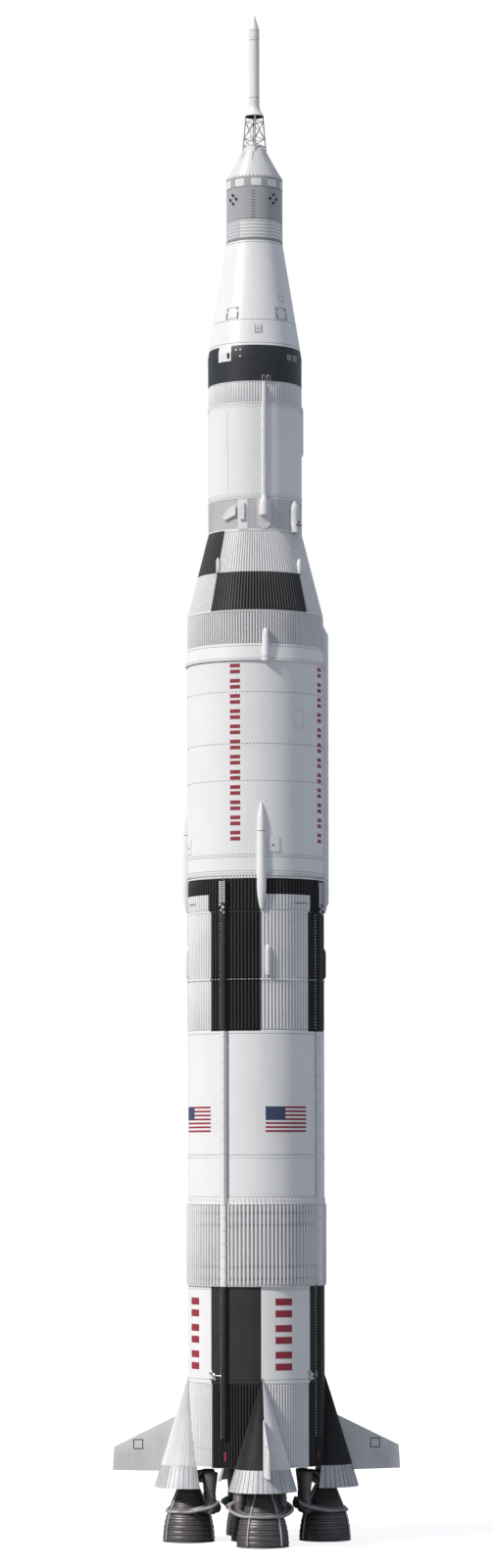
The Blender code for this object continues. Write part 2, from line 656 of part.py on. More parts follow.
def gimbal_cross(name, bearing):
    """The cross between the tail's ears and the engine's, a block with four pins."""
    half = CROSS_SIDE / 2
    rise = CROSS_HEIGHT / 2
    form = box((ENGINE_CIRCLE_R - half, -half, GIMBAL_Z - rise), (ENGINE_CIRCLE_R + half, half, GIMBAL_Z + rise))
    block = solid(name, form, "bare_metal")
    reach = EAR_OUTER + 0.001
    pins = [
        solid("pin", rod((ENGINE_CIRCLE_R - reach, 0, GIMBAL_Z), (ENGINE_CIRCLE_R + reach, 0, GIMBAL_Z),
                         PIN_R, PIN_SIDES), "bare_metal"),
        solid("pin", rod((ENGINE_CIRCLE_R, -reach, GIMBAL_Z), (ENGINE_CIRCLE_R, reach, GIMBAL_Z),
                         PIN_R, PIN_SIDES), "bare_metal"),
    ]
    combined(block, pins, "UNION")
    block.data.transform(heading(bearing))


def engines():
    """The fixed centre engine and the four outer ones in their gimbals."""
    thrust_chamber("thrust_chamber_centre", 0.0, CENTRE_ENGINE_BEARING, gimballed=False)
    turbopump("turbopump_centre", 0.0, CENTRE_ENGINE_BEARING)
    for number, bearing in enumerate(BEARINGS, 1):
        thrust_chamber(f"thrust_chamber_{number}", ENGINE_CIRCLE_R, bearing, gimballed=True)
        turbopump(f"turbopump_{number}", ENGINE_CIRCLE_R, bearing)
        gimbal_cross(f"gimbal_cross_{number}", bearing)


def fairing_r(height, wall=0.0):
    """The fairing cone's radius about the engine's axis at a height."""
    slope = FAIRING_LIP_R / (FAIRING_TIP_Z - FAIRING_LIP_Z)
    return max(slope * (FAIRING_TIP_Z - height) - wall, 0.0)


def fairings_and_fins():
    """Four half cones over the outer engines, hollow below, each with a fin on its outermost line."""
    below = FAIRING_LIP_Z - 0.05
    for number, bearing in enumerate(BEARINGS, 1):
        cone = turned(((0.0, FAIRING_LIP_Z), (FAIRING_LIP_R, FAIRING_LIP_Z), (0.0, FAIRING_TIP_Z)),
                      MODULE_SIDES, centre=ENGINE_CIRCLE_R)
        fairing = solid(f"engine_fairing_{number}", cone, "white_paint")
        hollow = solid("hollow", turned((
            (0.0, below), (fairing_r(below, FAIRING_WALL), below),
            (fairing_r(FAIRING_CEILING_Z, FAIRING_WALL), FAIRING_CEILING_Z), (0.0, FAIRING_CEILING_Z),
        ), MODULE_SIDES, centre=ENGINE_CIRCLE_R), "white_paint")
        skin = skin_cutter(STAGE_R, FAIRING_LIP_Z, FUEL_TOP_Z)
        combined(fairing, [hollow, skin], "DIFFERENCE")
        fairing.data.transform(heading(bearing))

        inner_r = STAGE_R + 0.02
        fin_outline = (
            (inner_r, FIN_ROOT_LOW_Z), (FIN_TIP_LOW_R, FIN_TIP_LOW_Z), (FIN_TIP_TOP_R, FIN_TIP_TOP_Z),
            (inner_r, FIN_ROOT_TOP_Z + 0.03),
        )
        fin = solid(f"fin_{number}", plate(
            fin_outline, lambda x, z: (FIN_BACK if z < GIMBAL_Z else FIN_EDGE) / 2), "grey_paint")
        swell = FAIRING_TIP_Z + SEAM * FAIRING_TIP_Z / FAIRING_LIP_R
        outer = solid("outer", turned((
            (0.0, below), (fairing_r(below) + SEAM, below), (SEAM, FAIRING_TIP_Z), (0.0, swell),
        ), MODULE_SIDES, centre=ENGINE_CIRCLE_R), "white_paint")
        combined(fin, [outer], "DIFFERENCE")
        fin.data.transform(heading(bearing))


def main():
    clear_scene()
    hull()
    interstages()
    escape_system()
    pods()
    tunnels()
    tail()
    fairings_and_fins()
    engines()


main()
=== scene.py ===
"""Looks of the three-stage moon rocket, a scale model at one tenth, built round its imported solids.

Metres, +Z up. A bearing is counted from the front, which looks along -Y, towards +X, in degrees.
"""

import math
import random

import bmesh
import bpy
import numpy as np
from mathutils import Matrix, Vector


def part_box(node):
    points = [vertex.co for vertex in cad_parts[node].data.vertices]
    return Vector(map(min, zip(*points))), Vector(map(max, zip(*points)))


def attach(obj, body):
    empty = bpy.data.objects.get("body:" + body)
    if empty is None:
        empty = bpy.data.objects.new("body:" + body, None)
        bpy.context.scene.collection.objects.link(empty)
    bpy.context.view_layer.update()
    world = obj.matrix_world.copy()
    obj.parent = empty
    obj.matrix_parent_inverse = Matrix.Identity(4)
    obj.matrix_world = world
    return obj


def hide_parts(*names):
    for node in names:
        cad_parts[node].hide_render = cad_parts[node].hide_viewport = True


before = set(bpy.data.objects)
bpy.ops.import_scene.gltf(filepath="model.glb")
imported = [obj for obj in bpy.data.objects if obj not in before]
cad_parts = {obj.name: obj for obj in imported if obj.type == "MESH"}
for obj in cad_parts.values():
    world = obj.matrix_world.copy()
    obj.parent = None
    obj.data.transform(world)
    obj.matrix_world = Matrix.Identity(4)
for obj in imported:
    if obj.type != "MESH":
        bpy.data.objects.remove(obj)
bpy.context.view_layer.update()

# Camera: how far off, how far round from the front, its height and its tilt about the view
CAMERA_DISTANCE = 31.28
CAMERA_TURN = 4.75
CAMERA_HEIGHT = 2.80
CAMERA_ROLL = 0.11
SENSOR = 36.0
PICTURE_HEIGHT_PX = 1600
METRES_PER_PX = 0.00711
HORIZON_BELOW_MIDDLE_PX = 378
AXIS_RIGHT_OF_MIDDLE_PX = 10.5

# Light: a soft sun from the left and a bluish sky
SUN_TURN = -58.0
SUN_ELEVATION = 40.0
SUN_SOFTNESS = 5.0
SUN_STRENGTH = 3.65
SUN_COLOUR = (1.0, 0.955, 0.915)
SKY_COLOUR = (0.385, 0.435, 0.53)

# Sides of a turned body by its size
HULL_SIDES = 192
MODULE_SIDES = 128
BELL_SIDES = 96
POD_SIDES = 40
PIPE_SIDES = 16
RIVET_SIDES = 6
CAD_SIDES = 72

# Hull skin between ribs, and how much a part is sunk into what it stands on
RIB_RISE = 0.009
WIDE_RIB_RISE = 0.012
SINK = 0.0008
MARK_LIFT = 0.0006
SEAM_WIDTH = 0.0035

BLACK_SECTORS = ((-45, 0), (45, 90), (135, 180), (225, 270))
OUTER_BEARINGS = (0, 90, 180, 270)


def span(node):
    """The lowest and highest height of a CAD node."""
    low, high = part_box(node)
    return low.z, high.z


def drum_r(node):
    """The radius of a node that is a plain drum in the solids."""
    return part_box(node)[1].x / math.cos(math.pi / CAD_SIDES)


STAGE_R = drum_r("first_stage_fuel_tank")
THIRD_R = drum_r("third_stage_tank")
INTERTANK_R = STAGE_R + 0.014
FORWARD_SKIRT_R = STAGE_R - 0.002
SERVICE_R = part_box("service_module")[1].x
RING_SHOULDER_R = THIRD_R + 0.001
RING_TOP_R = 0.3316
BASE_Z, TAIL_TOP_Z = 0.555, span("first_stage_tail")[1]
FUEL_TOP_Z = span("first_stage_fuel_tank")[1]
INTERTANK_TOP_Z = span("first_stage_intertank")[1]
OXIDIZER_TOP_Z = span("first_stage_oxidizer_tank")[1]
FIRST_STAGE_TOP_Z = span("first_stage_forward_skirt")[1]
INTERSTAGE_TOP_Z = span("lower_interstage")[1]
SECOND_SKIRT_TOP_Z = span("second_stage_aft_skirt")[1]
SECOND_TANK_TOP_Z = span("second_stage_tank")[1]
COLLAR_TOP_Z = span("second_stage_collar")[1]
SECOND_STAGE_TOP_Z = span("second_stage_forward_skirt")[1]
UPPER_INTERSTAGE_TOP_Z = span("upper_interstage")[1]
THIRD_SKIRT_TOP_Z = span("third_stage_aft_skirt")[1]
THIRD_TANK_TOP_Z = span("third_stage_tank")[1]
THIRD_STAGE_TOP_Z = span("third_stage_forward_skirt")[1]
RING_TOP_Z = span("instrument_ring")[1]
ADAPTER_TOP_Z = span("spacecraft_adapter")[1]
SERVICE_TOP_Z = span("service_module")[1]
COVER_TOP_Z = span("boost_cover")[1]
TOWER_TOP_Z = span("escape_tower")[1]
MOTOR_BASE_Z, MOTOR_TOP_Z = span("escape_motor")
TIP_Z = span("escape_nose_cone")[1]

PAD_CIRCLE_R = 0.435
PAD_SIDE = 0.060
PAD_DROP = 0.006
ENGINE_CIRCLE_R = 0.4955
CENTRE_ENGINE_BEARING = 180
FAIRING_LIP_Z = 0.395
FAIRING_LIP_R = 0.245
FAIRING_TIP_Z = 1.205


def add(tree, kind, inputs=None, **settings):
    """A node with its settings, and its inputs linked from sockets or set to values."""
    node = tree.nodes.new(kind)
    for name, value in settings.items():
        setattr(node, name, value)
    for name, value in (inputs or {}).items():
        if isinstance(value, bpy.types.NodeSocket):
            tree.links.new(value, node.inputs[name])
        else:
            node.inputs[name].default_value = value
    return node


def math_node(tree, operation, *values):
    """The value of a Math node."""
    return add(tree, "ShaderNodeMath", dict(enumerate(values)), operation=operation).outputs[0]


def blend_colours(tree, factor, first, second, blend_type="MIX"):
    """The colour of a Mix node."""
    node = add(tree, "ShaderNodeMix", {0: factor, 6: first, 7: second},
               data_type="RGBA", blend_type=blend_type)
    return node.outputs[2]


def noise(tree, place, scale, detail=3.0, roughness=0.5):
    """The value of a Noise node."""
    inputs = {"Vector": place, "Scale": scale, "Detail": detail, "Roughness": roughness}
    return add(tree, "ShaderNodeTexNoise", inputs).outputs[0]


def ramp(tree, value, low, high):
    """A value from 0 at low to 1 at high, and held there."""
    inputs = {"Value": value, "From Min": low, "From Max": high, "To Min": 0.0, "To Max": 1.0}
    return add(tree, "ShaderNodeMapRange", inputs).outputs[0]


def new_group(name, kind, inputs, outputs):
    """A node group with named sockets, and its two end nodes."""
    tree = bpy.data.node_groups.new(name, kind)
    for socket_name, socket_kind in inputs:
        tree.interface.new_socket(name=socket_name, in_out="INPUT", socket_type=socket_kind)
    for socket_name, socket_kind in outputs:
        tree.interface.new_socket(name=socket_name, in_out="OUTPUT", socket_type=socket_kind)
    return tree, tree.nodes.new("NodeGroupInput"), tree.nodes.new("NodeGroupOutput")


def weathering_group():
    """Soft blotches, rain streaks down the skin and a fine grain, for any paint."""
    tree, given, put_out = new_group("Weathering", "ShaderNodeTree", (
        ("Place", "NodeSocketVector"), ("Paint", "NodeSocketColor"), ("Dirt Colour", "NodeSocketColor"),
        ("Blotches", "NodeSocketFloat"), ("Streaks", "NodeSocketFloat"), ("Roughness", "NodeSocketFloat"),
    ), (("Colour", "NodeSocketColor"), ("Roughness", "NodeSocketFloat"), ("Height", "NodeSocketFloat")))
    place = given.outputs["Place"]
    blotch = ramp(tree, noise(tree, place, 3.1, 6.0, 0.62), 0.42, 0.72)
    stretched = add(tree, "ShaderNodeVectorMath", {0: place, 1: (1.0, 1.0, 0.055)}, operation="MULTIPLY")
    streak = ramp(tree, noise(tree, stretched.outputs[0], 34.0, 4.0, 0.6), 0.50, 0.80)
    grain = noise(tree, place, 420.0, 2.0)
    dirt = given.outputs["Dirt Colour"]
    blotched = blend_colours(tree, math_node(tree, "MULTIPLY", blotch, given.outputs["Blotches"]),
                             given.outputs["Paint"], dirt)
    streaked = blend_colours(tree, math_node(tree, "MULTIPLY", streak, given.outputs["Streaks"]),
                             blotched, dirt)
    tree.links.new(streaked, put_out.inputs["Colour"])
    spread = math_node(tree, "MULTIPLY_ADD", blotch, 0.14, -0.05)
    tree.links.new(math_node(tree, "ADD", spread, given.outputs["Roughness"]), put_out.inputs["Roughness"])
    tree.links.new(grain, put_out.inputs["Height"])
    return tree


def brushed_group():
    """Rolled sheet metal: fine speckle and lines along the sheet."""
    tree, given, put_out = new_group("Rolled sheet", "ShaderNodeTree", (
        ("Place", "NodeSocketVector"), ("Light", "NodeSocketColor"), ("Dark", "NodeSocketColor"),
        ("Roughness", "NodeSocketFloat"),
    ), (("Colour", "NodeSocketColor"), ("Roughness", "NodeSocketFloat"), ("Height", "NodeSocketFloat")))
    place = given.outputs["Place"]
    speckle = noise(tree, place, 160.0, 3.0, 0.7)
    cloud = noise(tree, place, 9.0, 4.0, 0.6)
    mixed = math_node(tree, "MULTIPLY_ADD", speckle, 0.55, math_node(tree, "MULTIPLY", cloud, 0.45))
    share = ramp(tree, mixed, 0.36, 0.64)
    tree.links.new(blend_colours(tree, share, given.outputs["Dark"], given.outputs["Light"]),
                   put_out.inputs["Colour"])
    spread = math_node(tree, "MULTIPLY_ADD", speckle, 0.22, -0.11)
    tree.links.new(math_node(tree, "ADD", spread, given.outputs["Roughness"]), put_out.inputs["Roughness"])
    tree.links.new(speckle, put_out.inputs["Height"])
    return tree


WEATHERING = weathering_group()
ROLLED_SHEET = brushed_group()


def group_finish(name, group, values, metallic, bump_distance, bump_strength=0.3, diffuse_roughness=0.0):
    """A material whose colour, roughness and bump come from a group with these values."""
    material = bpy.data.materials.new(name)
    material.use_nodes = True
    tree = material.node_tree
    shader = tree.nodes["Principled BSDF"]
    place = add(tree, "ShaderNodeTexCoord").outputs["Object"]
    box = add(tree, "ShaderNodeGroup", node_tree=group)
    tree.links.new(place, box.inputs["Place"])
    for socket_name, value in values.items():
        box.inputs[socket_name].default_value = value
    shader.inputs["Metallic"].default_value = metallic
    shader.inputs["Diffuse Roughness"].default_value = diffuse_roughness
    tree.links.new(box.outputs["Colour"], shader.inputs["Base Color"])
    tree.links.new(box.outputs["Roughness"], shader.inputs["Roughness"])
    bump = add(tree, "ShaderNodeBump", {
        "Height": box.outputs["Height"], "Distance": bump_distance, "Strength": bump_strength,
    })
    tree.links.new(bump.outputs["Normal"], shader.inputs["Normal"])
    return material


def paint(name, colour, dirt, blotches=0.35, streaks=0.3, roughness=0.5, gloss=0.5):
    """A weathered paint; gloss is how strongly it mirrors, 0.5 for common paint."""
    material = group_finish(name, WEATHERING, {
        "Paint": (*colour, 1.0), "Dirt Colour": (*dirt, 1.0), "Blotches": blotches,
        "Streaks": streaks, "Roughness": roughness,
    }, metallic=0.0, bump_distance=0.0004, diffuse_roughness=0.6)
    material.node_tree.nodes["Principled BSDF"].inputs["Specular IOR Level"].default_value = gloss
    return material


def sheet_metal(name, light, dark, roughness, metallic=0.85):
    """A bare or heat-stained metal."""
    return group_finish(name, ROLLED_SHEET, {
        "Light": (*light, 1.0), "Dark": (*dark, 1.0), "Roughness": roughness,
    }, metallic=metallic, bump_distance=0.0005, diffuse_roughness=0.3)


WHITE = paint("white_hull_paint", (0.86, 0.85, 0.835), (0.68, 0.68, 0.69), 0.24, 0.18, 0.42)
# A darker white for the skin between ribs and slanted bars: painted shade between them.
WHITE_PAINTED_SHADE = paint("white_painted_shade_between_ribs", (0.64, 0.635, 0.63), (0.42, 0.42, 0.43), 0.4, 0.3, 0.6)
# Near-black for plain black parts, and for the valleys and seams in black areas as painted shade between the ribs.
BLACK = paint("black_paint_and_painted_shade", (0.0085, 0.0082, 0.008), (0.020, 0.0195, 0.019), 0.35, 0.3, 0.58, 0.22)
BLACK_RIB = paint("black_rib_paint", (0.034, 0.033, 0.032), (0.062, 0.060, 0.057), 0.3, 0.4, 0.58, 0.25)
# A lighter black for the ribs in the upper interstage's black patches: painted highlight on the ribs.
BLACK_RIB_PAINTED_HIGHLIGHT = paint("black_rib_painted_highlight", (0.085, 0.083, 0.083), (0.15, 0.147, 0.145), 0.4, 0.5, 0.6, 0.25)
COVER_WHITE = paint("cover_white_paint", (0.75, 0.74, 0.73), (0.60, 0.60, 0.61), 0.24, 0.18, 0.5)
BLACK_RING = paint("ring_black_paint", (0.024, 0.026, 0.030), (0.045, 0.046, 0.050), 0.3, 0.2, 0.45)
GREY = paint("pale_grey_rib_paint", (0.80, 0.79, 0.775), (0.60, 0.60, 0.61), 0.3, 0.3, 0.5)
# A darker grey for the skin between ribs and the strips beside the tunnels, painted shade; also the dark panel
# outlines and radiator slat lines.
GREY_PAINTED_SHADE_AND_LINES = paint("grey_painted_shade_and_dark_lines", (0.55, 0.545, 0.54), (0.37, 0.37, 0.38), 0.4, 0.3, 0.65)
FIN_GREY = paint("fin_paint", (0.70, 0.69, 0.68), (0.50, 0.50, 0.51), 0.5, 0.35, 0.55)
MODULE_GREY = paint("module_silver_paint", (0.46, 0.455, 0.46), (0.34, 0.34, 0.35), 0.3, 0.2, 0.38)
RADIATOR_GREY = paint("radiator_grey_paint", (0.66, 0.66, 0.68), (0.5, 0.5, 0.52), 0.3, 0.2, 0.35)
MODULE_DARK = paint("module_band_paint", (0.26, 0.255, 0.25), (0.18, 0.18, 0.18), 0.3, 0.2, 0.45)
# The tower's white is given as mid grey: painted shade.
TOWER_GREY_PAINTED_SHADE = paint("tower_grey_painted_shade", (0.47, 0.465, 0.46), (0.34, 0.34, 0.34), 0.4, 0.3, 0.5)
SEAM = paint("seam_shadow", (0.30, 0.295, 0.29), (0.20, 0.20, 0.20), 0.4, 0.3, 0.7)
# Near-black for dark fittings and marks, and as painted shade in the escape skirt's recess and painted shadow on
# rivet heads.
DARK = paint("dark_paint_and_painted_shade", (0.022, 0.022, 0.024), (0.05, 0.05, 0.05), 0.3, 0.2, 0.6)
RED = paint("red_mark_paint", (0.34, 0.022, 0.042), (0.30, 0.06, 0.07), 0.3, 0.2, 0.5)
BLUE = paint("blue_mark_paint", (0.045, 0.06, 0.14), (0.08, 0.09, 0.15), 0.3, 0.2, 0.5)
SKIRT_TONES = tuple(
    sheet_metal(f"bare_skirt_sheet_{number}", light, dark, 0.56, 0.18)
    for number, (light, dark) in enumerate((
        ((0.62, 0.62, 0.625), (0.46, 0.465, 0.48)),
        ((0.68, 0.675, 0.67), (0.52, 0.525, 0.535)),
        ((0.56, 0.565, 0.575), (0.42, 0.43, 0.445)),
    ), 1)
)
PALE = paint("pale_fitting_paint", (0.78, 0.77, 0.76), (0.5, 0.5, 0.5), 0.3, 0.3, 0.5)
STEEL = sheet_metal("brushed_steel", (0.62, 0.61, 0.60), (0.40, 0.40, 0.40), 0.35)
NOZZLE = sheet_metal("heat_stained_nozzle", (0.105, 0.095, 0.091), (0.036, 0.033, 0.032), 0.5, 0.45)
NOZZLE_BAND = sheet_metal("nozzle_band_metal", (0.22, 0.20, 0.195), (0.095, 0.088, 0.086), 0.45, 0.5)
ENGINE = sheet_metal("engine_casing_metal", (0.27, 0.245, 0.23), (0.10, 0.092, 0.088), 0.5, 0.4)
WRAP = sheet_metal("pale_pipe_wrap", (0.50, 0.495, 0.50), (0.24, 0.235, 0.24), 0.5, 0.25)
ROD = sheet_metal("pale_rod_metal", (0.62, 0.615, 0.62), (0.36, 0.355, 0.36), 0.45, 0.3)


def repeat_tree():
    """Repeats a mesh round the Z axis, with a turn and a rise from each copy to the next."""
    tree, given, put_out = new_group("Repeat round the axis", "GeometryNodeTree", (
        ("Geometry", "NodeSocketGeometry"), ("Count", "NodeSocketInt"), ("First Turn", "NodeSocketFloat"),
        ("Turn Step", "NodeSocketFloat"), ("Rise Step", "NodeSocketFloat"), ("Finish", "NodeSocketMaterial"),
    ), (("Geometry", "NodeSocketGeometry"),))
    index = add(tree, "GeometryNodeInputIndex").outputs[0]
    turn = math_node(tree, "MULTIPLY_ADD", index, given.outputs["Turn Step"], given.outputs["First Turn"])
    rise = math_node(tree, "MULTIPLY", index, given.outputs["Rise Step"])
    place = add(tree, "ShaderNodeCombineXYZ", {"Z": rise}).outputs[0]
    points = add(tree, "GeometryNodePoints", {"Count": given.outputs["Count"], "Position": place})
    euler = add(tree, "ShaderNodeCombineXYZ", {"Z": turn}).outputs[0]
    rotation = add(tree, "FunctionNodeEulerToRotation", {0: euler}).outputs[0]
    copies = add(tree, "GeometryNodeInstanceOnPoints", {
        "Points": points.outputs[0], "Instance": given.outputs["Geometry"], "Rotation": rotation,
    })
    real = add(tree, "GeometryNodeRealizeInstances", {0: copies.outputs[0]})
    painted = add(tree, "GeometryNodeSetMaterial", {
        "Geometry": real.outputs[0], "Material": given.outputs["Finish"],
    })
    tree.links.new(painted.outputs[0], put_out.inputs[0])
    return tree


def tube_tree():
    """Round tube along each line of edges, with closed ends."""
    tree, given, put_out = new_group("Tube along lines", "GeometryNodeTree", (
        ("Geometry", "NodeSocketGeometry"), ("Radius", "NodeSocketFloat"), ("Sides", "NodeSocketInt"),
        ("Finish", "NodeSocketMaterial"),
    ), (("Geometry", "NodeSocketGeometry"),))
    line = add(tree, "GeometryNodeMeshToCurve", {"Mesh": given.outputs["Geometry"]})
    circle = add(tree, "GeometryNodeCurvePrimitiveCircle", {
        "Resolution": given.outputs["Sides"], "Radius": given.outputs["Radius"],
    })
    tube = add(tree, "GeometryNodeCurveToMesh", {
        "Curve": line.outputs[0], "Profile Curve": circle.outputs[0], "Fill Caps": True,
    })
    real = add(tree, "GeometryNodeRealizeInstances", {0: tube.outputs[0]})
    painted = add(tree, "GeometryNodeSetMaterial", {
        "Geometry": real.outputs[0], "Material": given.outputs["Finish"],
    })
    tree.links.new(painted.outputs[0], put_out.inputs[0])
    return tree


def stud_tree():
    """Small domes at an even spacing along each line of edges, standing out from the Z axis."""
    tree, given, put_out = new_group("Studs along lines", "GeometryNodeTree", (
        ("Geometry", "NodeSocketGeometry"), ("Spacing", "NodeSocketFloat"), ("Radius", "NodeSocketFloat"),
        ("Finish", "NodeSocketMaterial"),
    ), (("Geometry", "NodeSocketGeometry"),))
    line = add(tree, "GeometryNodeMeshToCurve", {"Mesh": given.outputs["Geometry"]})
    even = add(tree, "GeometryNodeResampleCurve", {
        "Curve": line.outputs[0], "Length": given.outputs["Spacing"],
    }, mode="LENGTH")
    dome = add(tree, "GeometryNodeMeshUVSphere", {
        "Segments": RIVET_SIDES, "Rings": 4, "Radius": given.outputs["Radius"],
    })
    place = add(tree, "GeometryNodeInputPosition").outputs[0]
    outward = add(tree, "ShaderNodeVectorMath", {0: place, 1: (1.0, 1.0, 0.0)}, operation="MULTIPLY")
    facing = add(tree, "FunctionNodeAlignRotationToVector", {"Vector": outward.outputs[0]}, axis="Z")
    copies = add(tree, "GeometryNodeInstanceOnPoints", {
        "Points": even.outputs[0], "Instance": dome.outputs[0], "Rotation": facing.outputs[0],
        "Scale": (1.0, 1.0, 0.7),
    })
    real = add(tree, "GeometryNodeRealizeInstances", {0: copies.outputs[0]})
    painted = add(tree, "GeometryNodeSetMaterial", {
        "Geometry": real.outputs[0], "Material": given.outputs["Finish"],
    })
    tree.links.new(painted.outputs[0], put_out.inputs[0])
    return tree


def rope_tree():
    """Slanted strands laid one behind the other along a line, which make a rope or a wrap."""
    tree, given, put_out = new_group("Rope along lines", "GeometryNodeTree", (
        ("Geometry", "NodeSocketGeometry"), ("Spacing", "NodeSocketFloat"), ("Radius", "NodeSocketFloat"),
        ("Lay", "NodeSocketFloat"), ("Finish", "NodeSocketMaterial"),
    ), (("Geometry", "NodeSocketGeometry"),))
    line = add(tree, "GeometryNodeMeshToCurve", {"Mesh": given.outputs["Geometry"]})
    even = add(tree, "GeometryNodeResampleCurve", {
        "Curve": line.outputs[0], "Length": given.outputs["Spacing"],
    }, mode="LENGTH")
    strand = add(tree, "GeometryNodeMeshUVSphere", {
        "Segments": 8, "Rings": 6, "Radius": given.outputs["Radius"],
    })
    tangent = add(tree, "GeometryNodeInputTangent").outputs[0]
    along = add(tree, "FunctionNodeAlignRotationToVector", {"Vector": tangent}, axis="X")
    slant = add(tree, "ShaderNodeCombineXYZ", {"Y": given.outputs["Lay"]}).outputs[0]
    slanted = add(tree, "FunctionNodeEulerToRotation", {0: slant}).outputs[0]
    turned_strand = add(tree, "FunctionNodeRotateRotation", {
        "Rotation": along.outputs[0], "Rotate By": slanted,
    }, rotation_space="LOCAL")
    copies = add(tree, "GeometryNodeInstanceOnPoints", {
        "Points": even.outputs[0], "Instance": strand.outputs[0], "Rotation": turned_strand.outputs[0],
        "Scale": (1.45, 1.0, 0.62),
    })
    real = add(tree, "GeometryNodeRealizeInstances", {0: copies.outputs[0]})
    painted = add(tree, "GeometryNodeSetMaterial", {
        "Geometry": real.outputs[0], "Material": given.outputs["Finish"],
    })
    tree.links.new(painted.outputs[0], put_out.inputs[0])
    return tree


REPEAT = repeat_tree()
TUBE = tube_tree()
STUDS = stud_tree()
ROPE = rope_tree()


def grown(mesh, tree, values):
    """The plain mesh that a tree makes from another with these values; the other is removed."""
    thing = bpy.data.objects.new("Growing", mesh)
    bpy.context.scene.collection.objects.link(thing)
    change = thing.modifiers.new("Grow", "NODES")
    change.node_group = tree
    identifiers = {item.name: item.identifier for item in tree.interface.items_tree if item.in_out == "INPUT"}
    for socket_name, value in values.items():
        change[identifiers[socket_name]] = value
    bpy.context.view_layer.update()
    evaluated = thing.evaluated_get(bpy.context.evaluated_depsgraph_get())
    result = bpy.data.meshes.new_from_object(evaluated)
    thing.modifiers.clear()
    bpy.data.objects.remove(thing, do_unlink=True)
    bpy.data.meshes.remove(mesh)
    return result


def repeated(mesh, count, finish, first=0.0, step=None, rise=0.0):
    """Copies of a mesh round the Z axis, all round if no step is given; first and step in degrees."""
    turn = 360.0 / count if step is None else step
    return grown(mesh, REPEAT, {
        "Count": count, "First Turn": math.radians(first), "Turn Step": math.radians(turn),
        "Rise Step": rise, "Finish": finish,
    })


def at(bearing, radius, z):
    """The point at a bearing, a distance from the axis and a height."""
    angle = math.radians(bearing)
    return Vector((radius * math.sin(angle), -radius * math.cos(angle), z))


def heading(bearing):
    """The turn about Z that takes +X to a bearing."""
    return Matrix.Rotation(math.radians(bearing - 90), 4, "Z")


def mesh_of(points, faces, materials, indices=None):
    """A mesh from points and faces, with its materials."""
    mesh = bpy.data.meshes.new("part")
    mesh.from_pydata([tuple(point) for point in points], [], faces)
    for material in materials:
        mesh.materials.append(material)
    if indices is not None:
        mesh.polygons.foreach_set("material_index", np.array(indices, dtype=np.int32))
    return mesh


def lines_mesh(lines):
    """A mesh of edges only, one run of edges for each list of points."""
    points = []
    edges = []
    for line in lines:
        first = len(points)
        points.extend(tuple(point) for point in line)
        edges.extend((first + index, first + index + 1) for index in range(len(line) - 1))
    mesh = bpy.data.meshes.new("lines")
    mesh.from_pydata(points, edges, [])
    return mesh


def tubes(lines, radius, finish, sides=PIPE_SIDES):
    """Round tubes along lines of points."""
    return grown(lines_mesh(lines), TUBE, {"Radius": radius, "Sides": sides, "Finish": finish})


def studs(lines, spacing, radius, finish):
    """Rows of rivet heads along lines of points."""
    return grown(lines_mesh(lines), STUDS, {"Spacing": spacing, "Radius": radius, "Finish": finish})


def turned(rows, sides, finish, centre=0.0, loop=False):
    """A body turned about an upright axis at x = centre, from rows up its outer side.

    A row is (radius, height) or (radius, height, finish of the band above it). With loop, the last row
    joins the first.
    """
    materials = [finish]
    points = []
    rings = []
    for row in rows:
        radius, height = row[0], row[1]
        start = len(points)
        count = 1 if radius == 0 else sides
        for index in range(count):
            angle = 2 * math.pi * (index + 0.5) / sides
            points.append((centre + radius * math.cos(angle), radius * math.sin(angle), height))
        rings.append((start, count))
    faces = []
    indices = []
    bands = list(zip(rings, rings[1:], rows))
    if loop:
        bands.append((rings[-1], rings[0], rows[-1]))
    for (low, low_count), (high, high_count), row in bands:
        if low_count == high_count == 1:
            continue
        band_finish = row[2] if len(row) > 2 else finish
        if band_finish not in materials:
            materials.append(band_finish)
        for index in range(sides):
            follower = (index + 1) % sides
            corners = (
                low + index % low_count, low + follower % low_count,
                high + follower % high_count, high + index % high_count,
            )
            faces.append(tuple(dict.fromkeys(corners)))
            indices.append(materials.index(band_finish))
    return mesh_of(points, faces, materials, indices)


def cone(low_z, low_r, high_z, high_r):
    """The radius of a straight skin at a height."""
    return lambda z: low_r + (high_r - low_r) * (z - low_z) / (high_z - low_z)


def drum(radius):
    """The radius of an upright skin."""
    return lambda z: radius


def grid_slab(bearings, heights, skin, lift, pick, sides_finish):
    """A thin plate on the skin, cell by cell; pick(column, row) gives the finish of each cell."""
    columns, rows = len(bearings), len(heights)
    points = [at(b, skin(z) + lift, z) for z in heights for b in bearings]
    points += [at(b, skin(z) - SINK, z) for z in heights for b in bearings]
    back = columns * rows
    materials = [sides_finish]
    faces = []
    indices = []
    for row in range(rows - 1):
        for column in range(columns - 1):
            a = row * columns + column
            cell = pick(column, row)
            if cell not in materials:
                materials.append(cell)
            faces.append((a, a + 1, a + columns + 1, a + columns))
            indices.append(materials.index(cell))
            faces.append((back + a, back + a + columns, back + a + columns + 1, back + a + 1))
            indices.append(0)
    rim = [column for column in range(columns)]
    rim += [row * columns + columns - 1 for row in range(1, rows)]
    rim += [(rows - 1) * columns + column for column in reversed(range(columns - 1))]
    rim += [row * columns for row in reversed(range(1, rows - 1))]
    for here, there in zip(rim, rim[1:] + rim[:1]):
        faces.append((here, back + here, back + there, there))
        indices.append(0)
    return mesh_of(points, faces, materials, indices)


